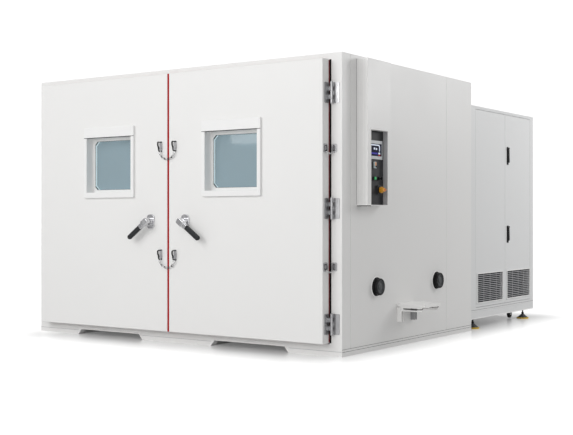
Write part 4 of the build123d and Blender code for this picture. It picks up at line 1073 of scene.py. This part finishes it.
@dataclass
class HousingLightLines(Piece):
    """Painted highlights along the edges and two front folds of the control housing and its recess, painted
    shade along its left edge and under its front.
    """

    edge: float = 0.0034
    brow: float = 0.012
    brow_edge: float = 0.002
    ledge: float = 0.008
    under_shade: float = 0.005
    under_shade_gap: float = 0.0002
    under_shade_bevel: float = 0.0008
    folds: Pair = (0.3, 0.62)
    fold: float = 0.0016
    fold_gap: float = 0.004
    hair: float = 0.001

    def build(self) -> None:
        """Build the painted highlights and the painted shade."""
        low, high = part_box("control_housing")
        foot, head = low.z + self.edge, high.z - self.fold_gap
        light_lines = Shape()
        # Painted highlights: bright beads along the recess's two edges and the housing's front corner and
        # bottom edges.
        for y in (RECESS_FRONT - self.edge, RECESS_REAR + self.edge):
            light_lines.tube([(high.x, y, RECESS_BOTTOM), (high.x, y, RECESS_TOP)], self.edge, Finish.SHELF)
        for start, end in (
            ((high.x, low.y, foot), (high.x, low.y, high.z)),
            ((low.x, low.y, foot), (high.x, low.y, foot)),
            ((high.x, low.y, foot), (high.x, RECESS_FRONT, foot)),
        ):
            light_lines.tube([start, end], self.edge, Finish.SHELF)
        # Painted highlight: a bright strip along the top edge of the recess.
        section = (
            (high.x - self.hair, RECESS_TOP), (high.x + self.ledge, RECESS_TOP),
            (high.x + self.ledge, RECESS_TOP + self.brow_edge), (high.x - self.hair, RECESS_TOP + self.brow),
        )
        light_lines.loft([[(x, y, z) for x, z in section] for y in (RECESS_FRONT, RECESS_REAR)], Finish.SHELF)
        # Painted highlights on two front folds, and a grey line of painted shade along the left edge.
        lines = [(low.x + share * (high.x - low.x), Finish.SHELF) for share in self.folds]
        for x, finish in (*lines, (low.x + self.fold, Finish.LOUVRE)):
            light_lines.tube([(x, low.y, foot), (x, low.y, head)], self.fold, finish)
        # Painted shadow: a dark box under the housing's front.
        light_lines.box(
            (low.x + 2 * self.hair, low.y + self.hair, low.z - self.under_shade),
            (high.x - self.hair, RECESS_FRONT, low.z - self.under_shade_gap), Finish.SHADE, self.under_shade_bevel, 2,
        )
        light_lines.build("housing_light_lines", "chamber", "housing_white", self.wardrobe)


@dataclass
class MainSwitch(Piece):
    """The main switch: a black base disc, a golden drum, and a pear-shaped grip with a red wedge."""

    middle: Pair = (-0.655, 1.213)
    reach: float = 0.042
    base: tuple[Pair, ...] = ((0.0285, 0.0), (0.0285, 0.004), (0.0265, 0.005))
    drum: tuple[Pair, ...] = (
        (0.0235, 0.0045), (0.0235, 0.018), (0.02, 0.022), (0.0175, 0.022), (0.016, 0.02), (0.009, 0.02),
    )
    grip_foot: float = 0.0195
    grip_round: Pair = (-0.008, 0.0155)
    grip_tip: Pair = (0.024, 0.0045)
    grip_top: float = 0.0415
    grip_edge: Pair = (0.002, 0.0015)
    wedge_half: float = 0.0005
    wedge: tuple[Pair, ...] = ((-0.006, 0.0115), (-0.006, -0.0115), (0.021, 0.0))

    def build(self) -> None:
        """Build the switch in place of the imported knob."""
        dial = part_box("main_switch_knob")[1].x - self.reach
        y, z = self.middle
        knob = Shape()
        knob.lathe(self.base, (dial, y, z), Finish.BLACK)
        knob.lathe(self.drum, (dial, y, z), Finish.YELLOW)
        full, small = self._pear(0.0), self._pear(self.grip_edge[1])
        top, half = self.grip_top, self.wedge_half
        for finish, levels in (
            (Finish.YELLOW, ((self.grip_foot, full), (top - self.grip_edge[0], full), (top, small))),
            (Finish.RED, ((top - half, self.wedge), (top + half, self.wedge))),
        ):
            rings = [[(dial + x, y + v, z + w) for v, w in outline] for x, outline in levels]
            knob.loft(rings, finish)
        piece = knob.build("main_switch_grip", "main_switch", "switch_yellow", self.wardrobe)
        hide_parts("main_switch_knob")

    def _pear(self, shrink: float) -> list[Pair]:
        """A pear outline that points to the rear.

        Args:
            shrink: how far it lies inside the full outline.

        Returns:
            The outline's points from the switch's middle.
        """
        points = []
        for (reach, full), start, end in ((self.grip_round, 75, 285), (self.grip_tip, -75, 75)):
            for step in range(13):
                turn = math.radians(start + (end - start) * step / 12)
                points.append((
                    reach + (full - shrink) * math.cos(turn), (full - shrink) * math.sin(turn),
                ))
        return points


@dataclass
class PlinthLines(Piece):
    """Sealant beads along the front and the right of the plinth, and rims round the fork pockets in a
    brighter white that paints their highlight.
    """

    levels: Pair = (0.052, 0.034)
    front_level: float = 0.036
    bead: float = 0.0013
    end_gap: float = 0.003
    rim: float = 0.0042
    rim_foot: float = 0.0045
    pocket_middle: float = 0.732
    pocket_foot: float = 0.371
    pocket_head: float = 0.334
    pocket_top: float = 0.048

    def build(self) -> None:
        """Build the beads and the rims."""
        low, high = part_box("plinth_frame")
        lines = Shape()
        for level in self.levels:
            start, end = low.y + self.end_gap, high.y - self.end_gap
            lines.tube([(high.x, start, level), (high.x, end, level)], self.bead, Finish.CAP_FACE, steps=8)
        near, far = self.pocket_middle - self.pocket_foot, self.pocket_middle + self.pocket_foot
        for start, end in ((low.x + self.end_gap, -far), (-near, near), (far, high.x - self.end_gap)):
            path = [(start, low.y, self.front_level), (end, low.y, self.front_level)]
            lines.tube(path, self.bead, Finish.LOUVRE, steps=8)
        outline = (
            (-self.pocket_foot, self.rim_foot), (-self.pocket_head, self.pocket_top),
            (self.pocket_head, self.pocket_top), (self.pocket_foot, self.rim_foot),
        )
        # Real rims round the pockets, in a brighter white as painted highlight.
        for side in Side:
            path = [(side.value * self.pocket_middle + x, low.y, z) for x, z in outline]
            lines.tube(path, self.rim, Finish.SHELF, steps=8)
        lines.build("plinth_lines", "chamber", "plinth_white", self.wardrobe)


@dataclass
class GapLines(Piece):
    """Dark lines on the front frame beside and under the door leaves, where the gap is in shade."""

    side_overlap: float = 0.002
    side_width: float = 0.014
    foot_height: float = 0.007
    foot_gap: float = 0.0002
    depth: float = 0.0008
    bevel: float = 0.0003

    def build(self) -> None:
        """Build the lines."""
        low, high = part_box("door_shell_right")
        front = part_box("front_frame")[0].y
        back = front - self.depth
        lines = Shape()
        for side in Side:
            ends = (side.value * (high.x - self.side_overlap), side.value * (high.x + self.side_width))
            near, far = sorted(ends)
            lines.box((near, back, low.z), (far, front, high.z), Finish.BLACK, self.bevel)
        foot, head = low.z - self.foot_height, low.z - self.foot_gap
        lines.box((-high.x, back, foot), (high.x, front, head), Finish.SHADE, self.bevel)
        lines.build("gap_lines", "chamber", "panel_white", self.wardrobe)


@dataclass
class CabinetLightLines(Piece):
    """Bright frames round the two grilles as painted highlights, and lines along the machine's base frame:
    two bright ones as painted highlights and a grey one at its top.
    """

    edge: float = 0.012
    wire: float = 0.0038
    glint_border: float = 0.0052
    bead: float = 0.0022
    beam_bottom: float = 0.09
    end_gap: float = 0.004

    def build(self) -> None:
        """Build the frames and the lines."""
        for end in ENDS:
            low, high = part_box(f"machine_grille_{end}")
            y0, y1, z0, z1 = low.y + self.edge, high.y - self.edge, low.z + self.edge, high.z - self.edge
            # Painted highlight: a bright frame round the grille's slots.
            path = [(high.x, y, z) for y, z in ((y0, z0), (y1, z0), (y1, z1), (y0, z1))]
            glint_border = Shape()
            glint_border.tube(path, self.glint_border, Finish.SHELF, closed=True)
            glint_border.build(f"grille_border_{end}", f"{end}_side_door", "cabinet_white", self.wardrobe)
        low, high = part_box("machine_base_frame")
        start, end = low.y + self.end_gap, high.y - self.end_gap
        lines = Shape()
        # Painted highlights: the two bright lines; a grey line at the frame's top.
        for level, radius, finish in (
            (self.beam_bottom + self.wire, self.wire, Finish.SHELF),
            (high.z, self.bead, Finish.LOUVRE),
            (high.z - 2 * self.bead - self.wire / 2, self.wire / 2, Finish.SHELF),
        ):
            lines.tube([(high.x, start, level), (high.x, end, level)], radius, finish)
        lines.build("base_frame_lines", "chamber", "base_white", self.wardrobe)


@dataclass
class ShelfShadeRail(Piece):
    """Dark rails with hooked ends on the outer faces of the folding shelf's arms: painted shade where the
    slots in the arms look dark.
    """

    set_back: float = 0.0008
    radius: float = 0.0036
    level: float = 0.019
    near: tuple[Pair, ...] = ((0.055, 0.0), (0.12, -0.001))
    far: tuple[Pair, ...] = ((-0.05, 0.0), (-0.028, 0.001), (-0.02, 0.008))

    def build(self) -> None:
        """Build both rails."""
        low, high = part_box("shelf_tray")
        places = [(low.x + reach, rise) for reach, rise in self.near]
        places += [(high.x + reach, rise) for reach, rise in self.far]
        shade_rails = Shape()
        for y in (low.y + self.set_back, high.y - self.set_back):
            path = [(x, y, low.z + self.level + rise) for x, rise in places]
            shade_rails.tube(path, self.radius, Finish.DARK_STEEL, steps=12)
        shade_rails.build("shelf_shade_rails", "folding_shelf", "shelf_grey", self.wardrobe)


@dataclass
class WindowBevel(Piece):
    """An eight-sided liner in front of a window pane, with a light blue inner wall that glows as painted
    light, and dark corners.
    """

    side: Side
    left: float = 0.413
    right: float = 0.867
    bottom: float = 1.237
    top: float = 1.647
    pane: float = -1.1002
    depth: float = 0.016
    inner: Pair = (0.003, 0.034)
    outer: Pair = (0.0005, 0.002)

    def build(self) -> None:
        """Build the liner."""
        front, back = self.pane - self.depth, self.pane
        corners = ((self.outer, front), (self.inner, front), (self.inner, back), (self.outer, back))
        rings = [self._ring(*inset, y) for inset, y in corners]
        # The inner wall glows light blue as painted light; the other faces are dark.
        finishes = (Finish.GLASS_CORNER, Finish.GLASS_EDGE, Finish.GLASS_CORNER, Finish.GLASS_CORNER)
        liner = Shape()
        for first, second, finish in zip(rings, rings[1:] + rings[:1], finishes):
            liner.loft((first, second), finish, capped=False)
        liner.build(f"window_bevel_{self.side.word}", f"{self.side.word}_door", "window_white", self.wardrobe)

    def _ring(self, inset: float, cut: float, y: float) -> list[Point]:
        """The corners of an eight-sided outline.

        Args:
            inset: how far it lies inside the opening.
            cut: how much each corner is cut off.
            y: its place along Y.

        Returns:
            The eight points.
        """
        x0, x1 = self.left + inset, self.right - inset
        z0, z1 = self.bottom + inset, self.top - inset
        points = [
            (x0 + cut, z0), (x1 - cut, z0), (x1, z0 + cut), (x1, z1 - cut),
            (x1 - cut, z1), (x0 + cut, z1), (x0, z1 - cut), (x0, z0 + cut),
        ]
        return [(self.side.value * x, y, z) for x, z in points]


@dataclass
class ChainStrap(Piece):
    """The thick black straps over the bows of the chain brackets of one door."""

    side: Side
    radius: float = 0.0062
    path: tuple[Pair, ...] = (
        (0.037, -0.006), (0.038, -0.03), (0.036, -0.036), (0.031, -0.044), (0.0285, -0.05), (0.028, -0.062),
    )

    def build(self) -> None:
        """Build the straps."""
        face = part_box("door_shell_right")[0].y
        middle = self.side.value * CHAIN_MIDDLE
        straps = Shape()
        for top in CHAIN_TOPS:
            path = [(middle, face - reach, top + rise) for reach, rise in self.path]
            straps.tube(path, self.radius, Finish.BLACK)
        straps.build(f"chain_straps_{self.side.word}", f"{self.side.word}_door", "chain_steel", self.wardrobe)


@dataclass
class PortFace(Piece):
    """The grey dished face of a port plug with its raised ring, and a white ring on the wall round it as a
    painted highlight.
    """

    end: str
    dish: float = 0.009
    profile: tuple[Pair, ...] = (
        (0.0496, 0.0002), (0.0494, 0.007), (0.0478, 0.0082), (0.0455, 0.0078), (0.0443, 0.0055),
        (0.0435, 0.0018), (0.032, 0.001), (0.0256, 0.001), (0.0254, 0.0044), (0.0235, 0.0056),
        (0.012, 0.0062), (0.002, 0.0064),
    )
    glint_radius: float = 0.0745
    glint_wire: float = 0.0042
    facets: int = 48

    def build(self) -> None:
        """Build the face and the ring."""
        low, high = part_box(f"port_plug_{self.end}")
        y, z = (low.y + high.y) / 2, (low.z + high.z) / 2
        face = Shape()
        face.lathe(self.profile, (high.x - self.dish, y, z), Finish.CAP_FACE, self.facets)
        face.build(f"port_face_{self.end}", f"{self.end}_plug", "port_black", self.wardrobe)
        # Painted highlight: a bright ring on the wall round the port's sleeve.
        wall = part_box("right_wall")[1].x
        path = [
            (wall, y + self.glint_radius * math.cos(turn), z + self.glint_radius * math.sin(turn))
            for turn in (2 * math.pi * step / self.facets for step in range(self.facets))
        ]
        ring = Shape()
        ring.tube(path, self.glint_wire, Finish.SHELF, closed=True)
        ring.build(f"port_flange_{self.end}", "chamber", "panel_white", self.wardrobe)


@dataclass
class Stage:
    """Pale floor, white surroundings, soft lights and the camera."""

    camera_at: Point = (5.605, -7.584, 1.0147)
    turn: float = 34.829
    lens: float = 66.73
    sensor: float = 36.0
    shift: float = -0.00197
    far_clip: float = 200.0
    floor_reach: float = 60.0
    floor_tone: float = 0.72
    floor_rough: float = 0.2
    floor_specular: float = 0.35
    background: float = 1.1
    surround: float = 0.495
    # Painted shadow: the floor's camera glow, low near the object and rising away from it.
    glow_near: float = 0.12
    glow_far: float = 0.62
    glow_reach: float = 0.62
    glow_margins: tuple[Pair, Pair] = ((0.42, 0.16), (0.42, 0.0))
    lights: tuple[tuple[str, Point, Point, float, float], ...] = (
        ("key_light", (-2.7, -9.0, 5.0), (-0.6, -1.0, 1.0), 6.0, 324.0),
        ("front_light", (3.2, -9.2, 3.0), (0.4, -1.0, 1.0), 5.0, 138.0),
        ("side_light", (5.0, 4.4, 3.4), (1.6, 1.2, 1.2), 2.5, 94.0),
    )

    def build(self) -> None:
        """Build everything that isn't part of the object."""
        self._floor()
        self._world()
        self._lights()
        self._camera()

    def _floor(self) -> None:
        """A plain pale floor with a soft sheen, glowing for the camera away from the object and darker near
        it: a painted soft shadow round the base.
        """
        data = bpy.data.meshes.new("floor")
        reach = self.floor_reach
        corners = [(-reach, -reach, 0), (reach, -reach, 0), (reach, reach, 0), (-reach, reach, 0)]
        data.from_pydata(corners, [], [(0, 1, 2, 3)])
        floor = bpy.data.objects.new("floor", data)
        bpy.context.scene.collection.objects.link(floor)
        material, sheet, shader = new_material("studio_floor")
        fill(
            shader, Base_Color=(*(3 * [self.floor_tone]), 1), Roughness=self.floor_rough,
            Specular_IOR_Level=self.floor_specular, Emission_Color=(1, 1, 1, 1),
        )
        sheet.link(self._glow(sheet), shader.inputs["Emission Strength"])
        data.materials.append(material)

    def _glow(self, sheet: NodeSheet) -> Socket:
        """The floor's glow for the camera, which grows with the distance from the object; the low glow next
        to it is a painted soft shadow.

        Args:
            sheet: the floor material's node sheet.

        Returns:
            The glow's strength.
        """
        low = Vector(cad_box[0][:2]) + Vector(self.glow_margins[0])
        high = Vector(cad_box[1][:2]) - Vector(self.glow_margins[1])
        offset, past, outside = (sheet.vector(word) for word in ("SUBTRACT", "SUBTRACT", "MAXIMUM"))
        offset.inputs[1].default_value = (*((low + high) / 2), 0)
        past.inputs[1].default_value = (*((high - low) / 2), 1)
        outside.inputs[1].default_value = (0, 0, 0)
        rise = sheet.add(
            "ShaderNodeMapRange", From_Min=0.0, From_Max=self.glow_reach, To_Min=self.glow_near,
            To_Max=self.glow_far,
        )
        rise.interpolation_type = "SMOOTHSTEP"
        glow = sheet.math("MULTIPLY")
        sheet.wire(
            "place.Object>offset.0 offset.0>reach.0 reach.0>past.0 past.0>outside.0 outside.0>distance.0 "
            "distance.Value>rise.Value rise.Result>glow.0 path.Is_Camera_Ray>glow.1",
            place=sheet.add("ShaderNodeTexCoord"), reach=sheet.vector("ABSOLUTE"), offset=offset, past=past,
            outside=outside, distance=sheet.vector("LENGTH"), rise=rise, glow=glow,
            path=sheet.add("ShaderNodeLightPath"),
        )
        return glow.outputs[0]

    def _world(self) -> None:
        """White surroundings: full white to the camera, softer as light."""
        world = bpy.data.worlds.new("studio")
        bpy.context.scene.world = world
        world.use_nodes = True
        sheet = NodeSheet(world.node_tree)
        white = (1, 1, 1, 1)
        sheet.wire(
            "path.Is_Camera_Ray>blend.0 soft.0>blend.1 seen.0>blend.2 blend.0>out.Surface",
            path=sheet.add("ShaderNodeLightPath"), blend=sheet.add("ShaderNodeMixShader"),
            soft=fill(world.node_tree.nodes["Background"], Color=white, Strength=self.surround),
            seen=sheet.add("ShaderNodeBackground", Color=white, Strength=self.background),
            out=world.node_tree.nodes["World Output"],
        )

    def _lights(self) -> None:
        """A large key at the front left, a fill at the front right, and a nearer light behind it."""
        for name, place, aim, size, power in self.lights:
            data = bpy.data.lights.new(name, "AREA")
            data.shape = "SQUARE"
            data.size = size
            data.energy = power
            lamp = bpy.data.objects.new(name, data)
            bpy.context.scene.collection.objects.link(lamp)
            lamp.location = place
            lamp.rotation_euler = (Vector(place) - Vector(aim)).to_track_quat("Z", "Y").to_euler()

    def _camera(self) -> None:
        """The camera at the photograph's place."""
        data = bpy.data.cameras.new("photo_camera")
        data.lens = self.lens
        data.sensor_width = self.sensor
        data.shift_y = self.shift
        data.clip_end = self.far_clip
        camera = bpy.data.objects.new("photo_camera", data)
        camera.location = self.camera_at
        camera.rotation_euler = (math.pi / 2, 0, math.radians(self.turn))
        bpy.context.scene.collection.objects.link(camera)
        bpy.context.scene.camera = camera


def main() -> None:
    """Dress the frame, add the pieces, and set the stage."""
    logging.basicConfig(level=logging.INFO, format="%(message)s")
    wardrobe = Wardrobe()
    Stage().build()
    PackedFinishes(wardrobe).dress()
    kinds = (TouchScreen, HousingLightLines, MainSwitch, PlinthLines, GapLines, CabinetLightLines, ShelfShadeRail)
    pieces: list[Piece] = [kind(wardrobe) for kind in kinds]
    pieces += [kind(wardrobe, side) for side in Side for kind in (WindowBevel, ChainStrap)]
    pieces += [PortFace(wardrobe, end) for end in ENDS]
    for piece in pieces:
        piece.build()
    bpy.context.scene.view_settings.view_transform = "Standard"


if __name__ == "__main__":
    main()
